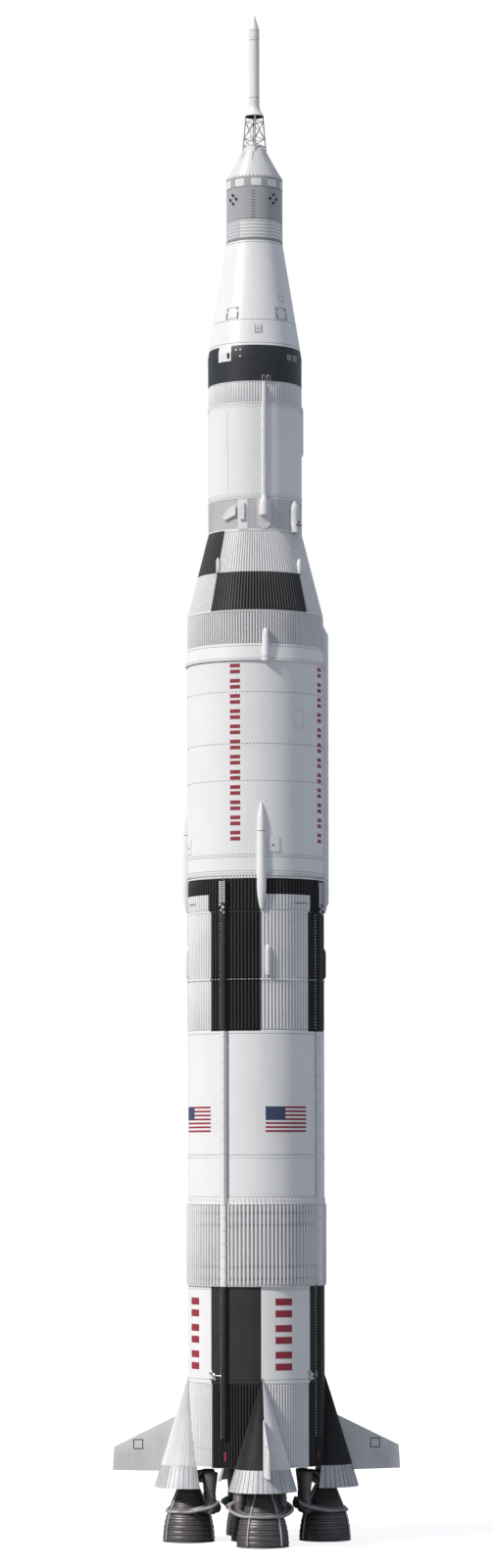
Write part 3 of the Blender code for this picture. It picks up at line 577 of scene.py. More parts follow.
def plate(low_b, high_b, low_z, high_z, skin, lift, finish, step=2.0):
    """A plate of one finish on the skin."""
    count = max(1, round((high_b - low_b) / step))
    bearings = np.linspace(low_b, high_b, count + 1)
    return grid_slab(bearings, (low_z, high_z), skin, lift, lambda column, row: finish, finish)


def patch(outline, skin_r, rise, finish):
    """A raised flat form on a drum; the outline is (bearing, height) counter-clockwise as seen."""
    points = [at(bearing, skin_r + out, z) for out in (-SINK, rise) for bearing, z in outline]
    count = len(outline)
    faces = [tuple(reversed(range(count))), tuple(range(count, 2 * count))]
    for index in range(count):
        follower = (index + 1) % count
        faces.append((index, follower, count + follower, count + index))
    return mesh_of(points, faces, [finish])


def frame_plates(low_b, high_b, low_z, high_z, skin, line, finish, lift=MARK_LIFT):
    """A thin outline on the skin, as four strips; line is its width."""
    width = math.degrees(line / skin(low_z))
    return [
        plate(low_b, high_b, low_z, low_z + line, skin, lift, finish),
        plate(low_b, high_b, high_z - line, high_z, skin, lift, finish),
        plate(low_b, low_b + width, low_z + line, high_z - line, skin, lift, finish),
        plate(high_b - width, high_b, low_z + line, high_z - line, skin, lift, finish),
    ]


HAT_SECTION = ((-0.50, 0.0), (-0.42, 0.70), (-0.30, 1.0), (0.30, 1.0), (0.42, 0.70), (0.50, 0.0))
DUCT_SECTION = (
    (-0.50, 0.0), (-0.50, 0.45), (-0.43, 0.78), (-0.26, 1.0), (0.26, 1.0), (0.43, 0.78), (0.50, 0.45),
    (0.50, 0.0),
)


def rib(rows, width, finish, bearing=90.0, section=HAT_SECTION):
    """A bar along the skin; each row is (height, skin radius, rise) and may give its own width."""
    points = []
    count = len(section)
    turn = heading(bearing)
    for row in rows:
        z, skin_r, rise = row[:3]
        row_width = row[3] if len(row) > 3 else width
        for across, up in section:
            out = skin_r - SINK if up == 0 else skin_r + up * rise
            points.append(turn @ Vector((out, across * row_width, z)))
    faces = [tuple(reversed(range(count)))]
    last = (len(rows) - 1) * count
    faces.append(tuple(range(last, last + count)))
    for row in range(len(rows) - 1):
        base = row * count
        for index in range(count):
            follower = (index + 1) % count
            faces.append((base + index, base + follower, base + count + follower, base + count + index))
    return mesh_of(points, faces, [finish])


def rivet(bearing, radius, z, size, finish):
    """One rivet head on a drum."""
    form = bmesh.new()
    bmesh.ops.create_uvsphere(form, u_segments=RIVET_SIDES, v_segments=4, radius=size)
    form.transform(Matrix.Translation(at(bearing, radius, z)))
    mesh = bpy.data.meshes.new("rivet")
    form.to_mesh(mesh)
    form.free()
    mesh.materials.append(finish)
    return mesh


def rivet_ring(radius, z, size, count, finish, first=0.0):
    """Rivet heads all round a drum."""
    return repeated(rivet(0.0, radius, z, size, finish), count, finish, first=first)


def rivet_column(bearing, radius, low_z, high_z, size, spacing, finish):
    """Rivet heads up a drum."""
    count = max(1, int((high_z - low_z) / spacing))
    return repeated(rivet(bearing, radius, low_z, size, finish), count, finish, step=0.0, rise=spacing)


def place_of_faces(mesh):
    """Bearing and height of the middle of each face."""
    centres = np.empty(len(mesh.polygons) * 3, dtype=np.float32)
    mesh.polygons.foreach_get("center", centres)
    centres = centres.reshape(-1, 3)
    return np.degrees(np.arctan2(centres[:, 0], -centres[:, 1])), centres[:, 2]


def in_sectors(bearings, sectors):
    """Which bearings lie in any of the sectors."""
    found = np.zeros(len(bearings), dtype=bool)
    for low, high in sectors:
        found |= ((bearings - low) % 360) < (high - low)
    return found


def roll_pattern(bearings, heights):
    """Where the roll pattern is black."""
    return in_sectors(bearings, BLACK_SECTORS)


class Piece:
    """One piece in the making: meshes gathered into one, each with its own finishes."""

    def __init__(self, name):
        self.name = name
        self.form = bmesh.new()
        self.finishes = []

    def add(self, *meshes, turn=None):
        """Takes meshes in, turned first if a turn is given, and removes them."""
        for mesh in meshes:
            places = []
            for finish in mesh.materials:
                if finish not in self.finishes:
                    self.finishes.append(finish)
                places.append(self.finishes.index(finish))
            old = np.empty(len(mesh.polygons), dtype=np.int32)
            mesh.polygons.foreach_get("material_index", old)
            mesh.polygons.foreach_set("material_index", np.array(places, dtype=np.int32)[old])
            if turn is not None:
                mesh.transform(turn)
            self.form.from_mesh(mesh)
            bpy.data.meshes.remove(mesh)
        return self

    def done(self, *nodes, body="rocket", slot="white_paint", black=None, black_rib=None, crease=32):
        """Makes the object, paints it black where that says, and fits it into the frame."""
        mesh = bpy.data.meshes.new(self.name)
        self.form.to_mesh(mesh)
        self.form.free()
        for finish in self.finishes:
            mesh.materials.append(finish)
        if black is not None:
            self.paint_black(mesh, black, black_rib or BLACK_RIB)
        mesh.shade_smooth()
        mesh.set_sharp_from_angle(angle=math.radians(crease))
        thing = bpy.data.objects.new(self.name, mesh)
        bpy.context.scene.collection.objects.link(thing)
        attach(thing, body)
        if nodes:
            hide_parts(*nodes)
        return thing

    def paint_black(self, mesh, where, rib_paint):
        """Changes the white and grey finishes to the black ones on the faces that where() picks."""
        # In black areas the valleys and seams take the much darker black, painted shade between the ribs; ribs and
        # smooth skin take the lighter black.
        dark_for = {WHITE: rib_paint, GREY: rib_paint, WHITE_PAINTED_SHADE: BLACK, GREY_PAINTED_SHADE_AND_LINES: BLACK, SEAM: BLACK}
        picked = where(*place_of_faces(mesh))
        indices = np.empty(len(mesh.polygons), dtype=np.int32)
        mesh.polygons.foreach_get("material_index", indices)
        for number, finish in enumerate(self.finishes):
            if finish not in dark_for:
                continue
            dark = dark_for[finish]
            if dark.name not in mesh.materials:
                mesh.materials.append(dark)
            indices[picked & (indices == number)] = mesh.materials.find(dark.name)
        mesh.polygons.foreach_set("material_index", indices)


def seam_rows(skin, z, finish, width=SEAM_WIDTH, depth=0.0008):
    """The rows of a shallow groove round a skin, with the finish of what follows."""
    half = width / 2
    return [
        (skin(z - half), z - half, SEAM), (skin(z) - depth, z - half * 0.6, SEAM),
        (skin(z) - depth, z + half * 0.6, SEAM), (skin(z + half), z + half, finish),
    ]


def skin_body(low_z, high_z, skin, finish, seams=(), sides=HULL_SIDES):
    """A closed section of the hull with seams round it."""
    rows = [(0.0, low_z), (skin(low_z), low_z, finish)]
    for z in sorted(seams):
        rows += seam_rows(skin, z, finish)
    rows += [(skin(high_z), high_z), (0.0, high_z)]
    return turned(rows, sides, finish)


def ribbed_body(low_z, high_z, skin, rise, count, share, rib_finish, valley_shade_finish,
                margin=(0.006, 0.006), taper=0.008, flange=0.007, splits=(), first=None):
    """A closed section with upright ribs on it and a flange at each end.

    share is the part of the pitch that a rib takes; splits are heights where a rib has a row of its own,
    so that paint can end there.
    """
    # The skin between the ribs takes the darker valley finish: painted shade between the ribs.
    inner = lambda z: skin(z) - rise
    rows = [(0.0, low_z), (skin(low_z) - rise * 0.15, low_z, rib_finish)]
    rows += [(skin(low_z + flange) - rise * 0.15, low_z + flange, valley_shade_finish)]
    rows += [(inner(low_z + flange), low_z + flange, valley_shade_finish)]
    for z in sorted(splits):
        rows.append((inner(z), z, valley_shade_finish))
    rows += [(inner(high_z - flange), high_z - flange, rib_finish)]
    rows += [(skin(high_z - flange) - rise * 0.15, high_z - flange, rib_finish)]
    rows += [(skin(high_z) - rise * 0.15, high_z, rib_finish), (0.0, high_z)]
    body = turned(rows, max(HULL_SIDES, count * 2), valley_shade_finish)
    bottom, top = low_z + margin[0], high_z - margin[1]
    pitch = 2 * math.pi / count
    levels = [bottom, bottom + taper, *sorted(splits), top - taper, top]
    rib_rows = []
    for z in levels:
        height = rise * 0.25 if z in (bottom, top) else rise
        rib_rows.append((z, inner(z), height, inner(z) * pitch * share))
    start = 180.0 / count if first is None else first
    one = rib(rib_rows, 0.0, rib_finish, bearing=0.0)
    return [body, repeated(one, count, rib_finish, first=start)]


# First stage

def first_stage():
    """Tail, tanks, intertank and forward skirt."""
    tail = Piece("tail_skin")
    tail.add(*ribbed_body(BASE_Z, TAIL_TOP_Z, drum(STAGE_R), RIB_RISE, 144, 0.55, WHITE, WHITE_PAINTED_SHADE))
    # A thin strip of the darker white across the ribs on the sunlit left side only: painted shade over the seam.
    tail.add(plate(-88, -46, 0.690, 0.696, drum(STAGE_R), 0.0008, WHITE_PAINTED_SHADE))
    for bearing in (-32, 58, 148, 238):
        tail.add(plate(bearing - 2.4, bearing + 2.4, BASE_Z + 0.010, 0.752, drum(STAGE_R), 0.003, BLACK))
        tail.add(plate(bearing - 0.9, bearing + 0.9, 0.604, 0.668, drum(STAGE_R), 0.0045, RED))
    tail.add(*base_plate())
    tail.done("first_stage_tail", slot="black_paint", black=roll_pattern)

    fuel = Piece("fuel_tank_skin")
    skin = drum(STAGE_R)
    fuel.add(skin_body(TAIL_TOP_Z, FUEL_TOP_Z, skin, WHITE, seams=(1.188, 1.834)))
    for bearing in (-43.5, 46.8, 136.5, 226.8):
        fuel.add(*valve_cluster(bearing))
    fuel.done("first_stage_fuel_tank", black=roll_pattern)

    intertank = Piece("intertank_skin")
    intertank.add(*ribbed_body(FUEL_TOP_Z, INTERTANK_TOP_Z, drum(INTERTANK_R), WIDE_RIB_RISE, 108, 0.58,
                               GREY, GREY_PAINTED_SHADE_AND_LINES, margin=(0.002, 0.002), taper=0.014, flange=0.005))
    for z in (1.913, 1.998, 2.297, 2.382):
        inner = INTERTANK_R - WIDE_RIB_RISE
        intertank.add(turned(((inner - 0.002, z - 0.009), (inner + 0.005, z - 0.009), (inner + 0.005, z + 0.009),
                              (inner - 0.002, z + 0.009)), HULL_SIDES, SEAM, loop=True))
    intertank.done("first_stage_intertank", slot="grey_paint")

    oxidizer = Piece("oxidizer_tank_skin")
    oxidizer.add(skin_body(INTERTANK_TOP_Z, OXIDIZER_TOP_Z, skin, WHITE, seams=(2.497, 2.797, 3.664)))
    oxidizer.add(rivet_ring(STAGE_R, 2.776, 0.0035, 108, SEAM))
    tab = plate(-0.8, 0.8, INTERTANK_TOP_Z, INTERTANK_TOP_Z + 0.040, skin, 0.004, WHITE)
    oxidizer.add(repeated(tab, 108, WHITE, first=180.0 / 108))
    oxidizer.done("first_stage_oxidizer_tank")

    forward = Piece("first_stage_forward_skin")
    forward.add(*ribbed_body(OXIDIZER_TOP_Z, FIRST_STAGE_TOP_Z, skin, RIB_RISE, 120, 0.55,
                             WHITE, WHITE_PAINTED_SHADE, margin=(0.010, 0.004)))
    forward.done("first_stage_forward_skirt", slot="black_paint", black=roll_pattern)


def valve_cluster(bearing):
    """Small valves and their pipe low on the fuel tank."""
    parts = []
    for across, z, size in ((-2.0, 1.236, 0.015), (0.6, 1.215, 0.019), (-1.2, 1.192, 0.016), (2.0, 1.190, 0.012)):
        cap = turned(((0.0, -0.002), (size, -0.002), (size, 0.010), (size * 0.7, 0.014), (0.0, 0.016)), 14, STEEL)
        cap.transform(Matrix.Rotation(math.radians(90), 4, "Y"))
        cap.transform(Matrix.Translation((STAGE_R, 0, z)))
        cap.transform(heading(bearing + across))
        parts.append(cap)
    reach = STAGE_R + 0.007
    parts.append(tubes([[at(bearing + turn, reach, 1.216) for turn in (2.0, 5.0, 8.0, 10.5)],
                        [at(bearing + 8.0, reach, z) for z in (1.196, 1.216, 1.236)],
                        [at(bearing + 10.0, reach, z) for z in (1.200, 1.216, 1.232)]], 0.0040, STEEL, 8))
    return parts


def base_plate():
    """Panel joints and shallow beams under the base."""
    parts = []
    for bearing in (45, 135, 225, 315):
        ends = (at(bearing, 0.05, BASE_Z - 0.001), at(bearing, 0.375, BASE_Z - 0.001))
        parts.append(tubes([ends], 0.005, STEEL, 8))
    for bearing in (45, 135, 225, 315):
        pad = block((PAD_CIRCLE_R - PAD_SIDE / 2, -PAD_SIDE / 2, BASE_Z - PAD_DROP),
                    (PAD_CIRCLE_R + PAD_SIDE / 2, PAD_SIDE / 2, BASE_Z + 0.004))
        pad.transform(heading(bearing))
        parts.append(pad)
    for radius in (0.12, 0.30):
        rows = ((radius - 0.003, BASE_Z + 0.001), (radius - 0.003, BASE_Z - 0.003),
                (radius + 0.003, BASE_Z - 0.003), (radius + 0.003, BASE_Z + 0.001))
        parts.append(turned(rows, MODULE_SIDES, STEEL, loop=True))
    return parts


def main_marks():
    """The flags' places as plain striped patches, and rows of plain red bars where words would stand."""
    marks = Piece("painted_marks")
    skin = drum(STAGE_R)
    for low_b, high_b in ((3, 41.5), (-87, -46)):
        heights = np.linspace(2.960, 3.144, 14)
        bearings = np.linspace(low_b, high_b, 21)

        def stripe(column, row):
            if column < 9 and row >= 6:
                return BLUE
            return RED if row % 2 == 0 else WHITE

        marks.add(grid_slab(bearings, heights, skin, MARK_LIFT, stripe, WHITE))
    for bearing in (-22, 64):
        for number in range(12):
            top = 6.307 - number * 0.1085
            for low, high in ((0.0, 0.027), (0.043, 0.070)):
                marks.add(plate(bearing - 4.4, bearing + 4.4, top - high, top - low, skin, MARK_LIFT, RED))
    for bearing in (18.6, -69):
        for number in range(3):
            top = 1.770 - number * 0.190
            for low, high in ((0.0, 0.050), (0.085, 0.135)):
                marks.add(plate(bearing - 7.5, bearing + 7.5, top - high, top - low, skin, MARK_LIFT, RED))
    marks.done(slot="white_paint")


def tunnels():
    """Cable tunnels with their straps and rivet rows."""
    tank_r = STAGE_R
    for number, bearing in enumerate((-32, 58, 148, 238), 1):
        low_z, high_z = span(f"first_stage_tunnel_{number}")
        piece = Piece(f"first_tunnel_cover_{number}")
        outer = tank_r + 0.034
        rows = (
            (low_z, tank_r, 0.004, 0.030), (low_z + 0.010, tank_r, 0.022, 0.038),
            (low_z + 0.030, tank_r, outer - tank_r, 0.042),
            (FUEL_TOP_Z - 0.001, tank_r, outer - tank_r, 0.042),
            (FUEL_TOP_Z, INTERTANK_R, outer - INTERTANK_R, 0.042),
            (INTERTANK_TOP_Z, INTERTANK_R, outer - INTERTANK_R, 0.042),
            (INTERTANK_TOP_Z + 0.001, tank_r, outer - tank_r, 0.042),
            (OXIDIZER_TOP_Z, tank_r, outer - tank_r, 0.042),
            (high_z - 0.060, tank_r, outer - tank_r, 0.042), (high_z, tank_r, 0.006, 0.036),
        )
        piece.add(rib(rows, 0.0, WHITE, bearing=bearing, section=DUCT_SECTION))
        strap_rows = ((low_z + 0.110, tank_r, 0.0353), (low_z + 0.122, tank_r, 0.0353))
        strap = rib(strap_rows, 0.046, GREY, bearing=bearing, section=DUCT_SECTION)
        piece.add(repeated(strap, 43, GREY, step=0.0, rise=0.0925))
        for low in (low_z + 0.02, OXIDIZER_TOP_Z + 0.02):
            clip = rib(((low, tank_r, 0.008), (low + 0.010, tank_r, 0.008)), 0.012, STEEL,
                       bearing=bearing - 3.4)
            count = 54 if low < 1 else 38
            piece.add(repeated(clip, count, STEEL, step=0.0, rise=0.0205 if low < 1 else 0.022))
        rung = rib(((4.604, tank_r, 0.040), (4.610, tank_r, 0.040)), 0.034, PALE, bearing=bearing,
                   section=DUCT_SECTION)
        piece.add(repeated(rung, 12, PALE, step=0.0, rise=0.0128))
        for side in (-2.0, 2.0):
            piece.add(tubes([[at(bearing + side, tank_r + 0.034, z) for z in (4.598, 4.756)]], 0.0040, PALE, 8))
        for side, z, size in ((-1.6, 4.585, 0.010), (0.9, 4.566, 0.012), (-1.0, 4.545, 0.009), (1.6, 4.530, 0.008)):
            piece.add(rivet(bearing + side, tank_r + 0.034, z, size, PALE))
        # Thin darker strips on the tank along both sides of each tunnel: painted shadow of the tunnel.
        for side in (-3.2, 3.2):
            piece.add(rib(((INTERTANK_TOP_Z + 0.045, tank_r, 0.003), (OXIDIZER_TOP_Z, tank_r, 0.003)), 0.0055,
                          GREY_PAINTED_SHADE_AND_LINES, bearing=bearing + side))
        for side in (-4.0, 4.0):
            piece.add(rivet_column(bearing + side, tank_r, INTERTANK_TOP_Z + 0.02, OXIDIZER_TOP_Z - 0.01,
                                   0.0022, 0.016, SEAM))
        piece.done(f"first_stage_tunnel_{number}",
                   black=lambda b, z: (z > OXIDIZER_TOP_Z) | (z < FUEL_TOP_Z))

    low_z, high_z = span("second_stage_tunnel")
    piece = Piece("second_tunnel_cover")
    outer = STAGE_R + 0.035
    rows = (
        (low_z, STAGE_R, 0.006, 0.050), (low_z + 0.060, STAGE_R, outer - STAGE_R, 0.062),
        (SECOND_TANK_TOP_Z - 0.001, STAGE_R, outer - STAGE_R, 0.062),
        (SECOND_TANK_TOP_Z, INTERTANK_R, outer - INTERTANK_R, 0.062),
        (COLLAR_TOP_Z, STAGE_R, outer - STAGE_R, 0.062),
        (high_z - 0.060, FORWARD_SKIRT_R, outer - FORWARD_SKIRT_R, 0.062), (high_z, FORWARD_SKIRT_R, 0.006, 0.050),
    )
    piece.add(rib(rows, 0.0, WHITE, bearing=80, section=DUCT_SECTION))
    strap = rib(((low_z + 0.150, STAGE_R, 0.0362), (low_z + 0.162, STAGE_R, 0.0362)), 0.064, WHITE,
                bearing=80, section=DUCT_SECTION)
    piece.add(repeated(strap, 14, WHITE, step=0.0, rise=0.115))
    piece.done("second_stage_tunnel")

    low_z, high_z = span("third_stage_tunnel")
    piece = Piece("third_tunnel_cover")
    rows = (
        (low_z + 0.090, THIRD_R, 0.016, 0.028), (high_z - 0.050, THIRD_R, 0.016, 0.028),
        (high_z, THIRD_R, 0.004, 0.022),
    )
    piece.add(rib(rows, 0.0, WHITE, bearing=6, section=DUCT_SECTION))
    foot = ((0.0, 7.386), (0.026, 7.387), (0.030, 7.392), (0.030, 7.470), (0.027, 7.492), (0.019, 7.515),
            (0.013, 7.530), (0.0, 7.540))
    piece.add(turned(foot, POD_SIDES, WHITE, centre=THIRD_R + 0.006), turn=heading(6))
    strap = rib(((7.600, THIRD_R, 0.0170), (7.608, THIRD_R, 0.0170)), 0.030, GREY, bearing=6,
                section=DUCT_SECTION)
    piece.add(repeated(strap, 7, GREY, step=0.0, rise=0.096))
    piece.done("third_stage_tunnel")


# Second stage

def second_stage():
    """Interstage, aft skirt, tank, collar and forward skirt."""
    skin = drum(STAGE_R)
    lower = Piece("lower_interstage_skin")
    lower.add(*ribbed_body(FIRST_STAGE_TOP_Z, INTERSTAGE_TOP_Z, skin, RIB_RISE, 120, 0.55,
                           WHITE, WHITE_PAINTED_SHADE))
    lower.add(turned(((STAGE_R - 0.006, FIRST_STAGE_TOP_Z - 0.004), (STAGE_R + 0.002, FIRST_STAGE_TOP_Z - 0.004),
                      (STAGE_R + 0.002, FIRST_STAGE_TOP_Z + 0.006), (STAGE_R - 0.006, FIRST_STAGE_TOP_Z + 0.006)),
                     HULL_SIDES, WHITE, loop=True))
    lower.add(rivet_ring(STAGE_R + 0.002, FIRST_STAGE_TOP_Z + 0.001, 0.0048, 120, PALE, first=1.5))
    for bearing in (5, 95, 185, 275):
        outline = ((0.0, 4.076), (0.010, 4.077), (0.0165, 4.084), (0.018, 4.110), (0.018, 4.255),
                   (0.0155, 4.276), (0.009, 4.292), (0.0, 4.300))
        shade = BLACK_RIB if bearing == 95 else WHITE
        lower.add(turned(outline, POD_SIDES, shade, centre=STAGE_R + 0.004), turn=heading(bearing))
        band = turned(((0.017, 4.100), (0.0192, 4.100), (0.0192, 4.103), (0.017, 4.103)), POD_SIDES, shade,
                      centre=STAGE_R + 0.004, loop=True)
        band.transform(heading(bearing))
        lower.add(repeated(band, 15, shade, step=0.0, rise=0.011))
    lower.done("lower_interstage", black=roll_pattern)

    aft = Piece("second_stage_aft_skin")
    aft.add(*ribbed_body(INTERSTAGE_TOP_Z, SECOND_SKIRT_TOP_Z, skin, RIB_RISE, 120, 0.62, WHITE,
                         WHITE_PAINTED_SHADE, splits=(4.661,), flange=0.004))
    for low_b in (-80, 30, 100, 210):
        aft.add(plate(low_b, low_b + 14, 4.599, 4.604, skin, 0.001, DARK))

    def aft_black(bearings, heights):
        inset = in_sectors(bearings, ((-90, -48), (0, 48), (90, 132), (180, 228)))
        return ~(inset & (heights < 4.661))

    aft.done("second_stage_aft_skirt", slot="black_paint", black=aft_black)

    tank = Piece("second_stage_tank_skin")
    tank.add(skin_body(SECOND_SKIRT_TOP_Z, SECOND_TANK_TOP_Z, skin, WHITE, seams=(4.811, 4.827, 4.927)))
    band = ((STAGE_R - 0.002, 4.778), (STAGE_R + 0.002, 4.778), (STAGE_R + 0.002, 4.808),
            (STAGE_R - 0.002, 4.808))
    tank.add(turned(band, HULL_SIDES, WHITE, loop=True))
    stud = plate(-0.55, 0.55, 4.786, 4.800, skin, 0.0045, SEAM)
    tank.add(repeated(stud, 144, SEAM))
    for z in (4.942, 5.470, 5.734, 6.104):
        dash = plate(-0.62, 0.62, z, z + 0.0055, skin, 0.0010, SEAM)
        tank.add(repeated(dash, 120, SEAM))
    tank.add(*frame_plates(29.0, 39.0, 5.854, 5.985, skin, 0.003, GREY_PAINTED_SHADE_AND_LINES))
    for bearing in OUTER_BEARINGS:
        tank.add(plate(bearing + 5.2, bearing + 15.0, 4.965, 5.070, skin, 0.004, WHITE))
        tank.add(*frame_plates(bearing + 5.0, bearing + 15.2, 4.962, 5.073, skin, 0.004, GREY_PAINTED_SHADE_AND_LINES))
        tank.add(rivet(bearing + 9.5, STAGE_R + 0.004, 5.012, 0.007, DARK))
    tank.done("second_stage_tank")

    collar = Piece("collar_skin")
    collar_skin = cone(SECOND_TANK_TOP_Z, INTERTANK_R, COLLAR_TOP_Z, STAGE_R)
    collar.add(skin_body(SECOND_TANK_TOP_Z, COLLAR_TOP_Z, collar_skin, WHITE, seams=(6.344, 6.434)))
    collar.done("second_stage_collar")

    forward = Piece("second_stage_forward_skin")
    forward.add(*ribbed_body(COLLAR_TOP_Z, SECOND_STAGE_TOP_Z, drum(FORWARD_SKIRT_R), RIB_RISE, 150, 0.5,
                             GREY, GREY_PAINTED_SHADE_AND_LINES, margin=(0.003, 0.004)))
    forward.done("second_stage_forward_skirt", slot="grey_paint")


FEED_POD_ROWS = (
    (0.0, 4.548), (0.009, 4.552), (0.017, 4.575), (0.024, 4.612), (0.030, 4.655), (0.033, 4.700),
    (0.034, 4.740), (0.0335, 4.790), (0.030, 4.900), (0.027, 5.090), (0.0262, 5.104), (0.0245, 5.106),
    (0.0245, 5.111), (0.0262, 5.113), (0.025, 5.180), (0.022, 5.218), (0.015, 5.270), (0.008, 5.302),
    (0.0, 5.322),
)


def pods():
    """Smooth fairings over the feed lines, the collar's fairing and the attitude pods."""
    for number, bearing in enumerate((0, 90, 180, 225, 270), 1):
        piece = Piece(f"feed_line_cover_{number}")
        rows = [(*row, SEAM) if row[0] == 0.0245 else row for row in FEED_POD_ROWS]
        piece.add(turned(rows, POD_SIDES, WHITE, centre=STAGE_R + 0.003), turn=heading(bearing))
        edge = [(z, STAGE_R, 0.0012, 2 * width + 0.014) for width, z in FEED_POD_ROWS[3:-3]]
        edge = [row for row in edge if row[0] > SECOND_SKIRT_TOP_Z]
        piece.add(rib(edge, 0.0, WHITE, bearing=bearing))
        piece.done(f"feed_line_fairing_{number}")

    piece = Piece("collar_cover")
    rows = ((0.0, 6.322), (0.0245, 6.323), (0.0270, 6.328), (0.0268, 6.352), (0.0255, 6.353, SEAM),
            (0.0255, 6.357, WHITE), (0.0265, 6.358), (0.0245, 6.440), (0.0215, 6.505), (0.0190, 6.545),
            (0.0150, 6.556), (0.0, 6.560))
    piece.add(turned(rows, POD_SIDES, WHITE, centre=STAGE_R + 0.012), turn=heading(3.8))
    piece.done("collar_fairing")

    for number, bearing in enumerate((48.5, 228.5), 1):
        piece = Piece(f"attitude_pod_cover_{number}")
        rows = ((0.0, 7.276), (0.036, 7.277), (0.039, 7.281), (0.0385, 7.290), (0.036, 7.294),
                (0.035, 7.400), (0.035, 7.455), (0.030, 7.474), (0.012, 7.505), (0.0, 7.510))
        piece.add(turned(rows, POD_SIDES, GREY, centre=THIRD_R + 0.014), turn=heading(bearing))
        for height, side in ((7.330, -1), (7.330, 1), (7.352, 0)):
            nozzle = turned(((0.0, 0.0), (0.005, 0.0), (0.007, 0.010), (0.0055, 0.010), (0.0, 0.004)),
                            12, DARK)
            nozzle.transform(Matrix.Translation((THIRD_R + 0.014 + 0.033, side * 0.016, height))
                             @ Matrix.Rotation(math.radians(90), 4, "Y"))
            piece.add(nozzle, turn=heading(bearing))
        piece.done(f"attitude_pod_{number}", slot="grey_paint")


# Third stage

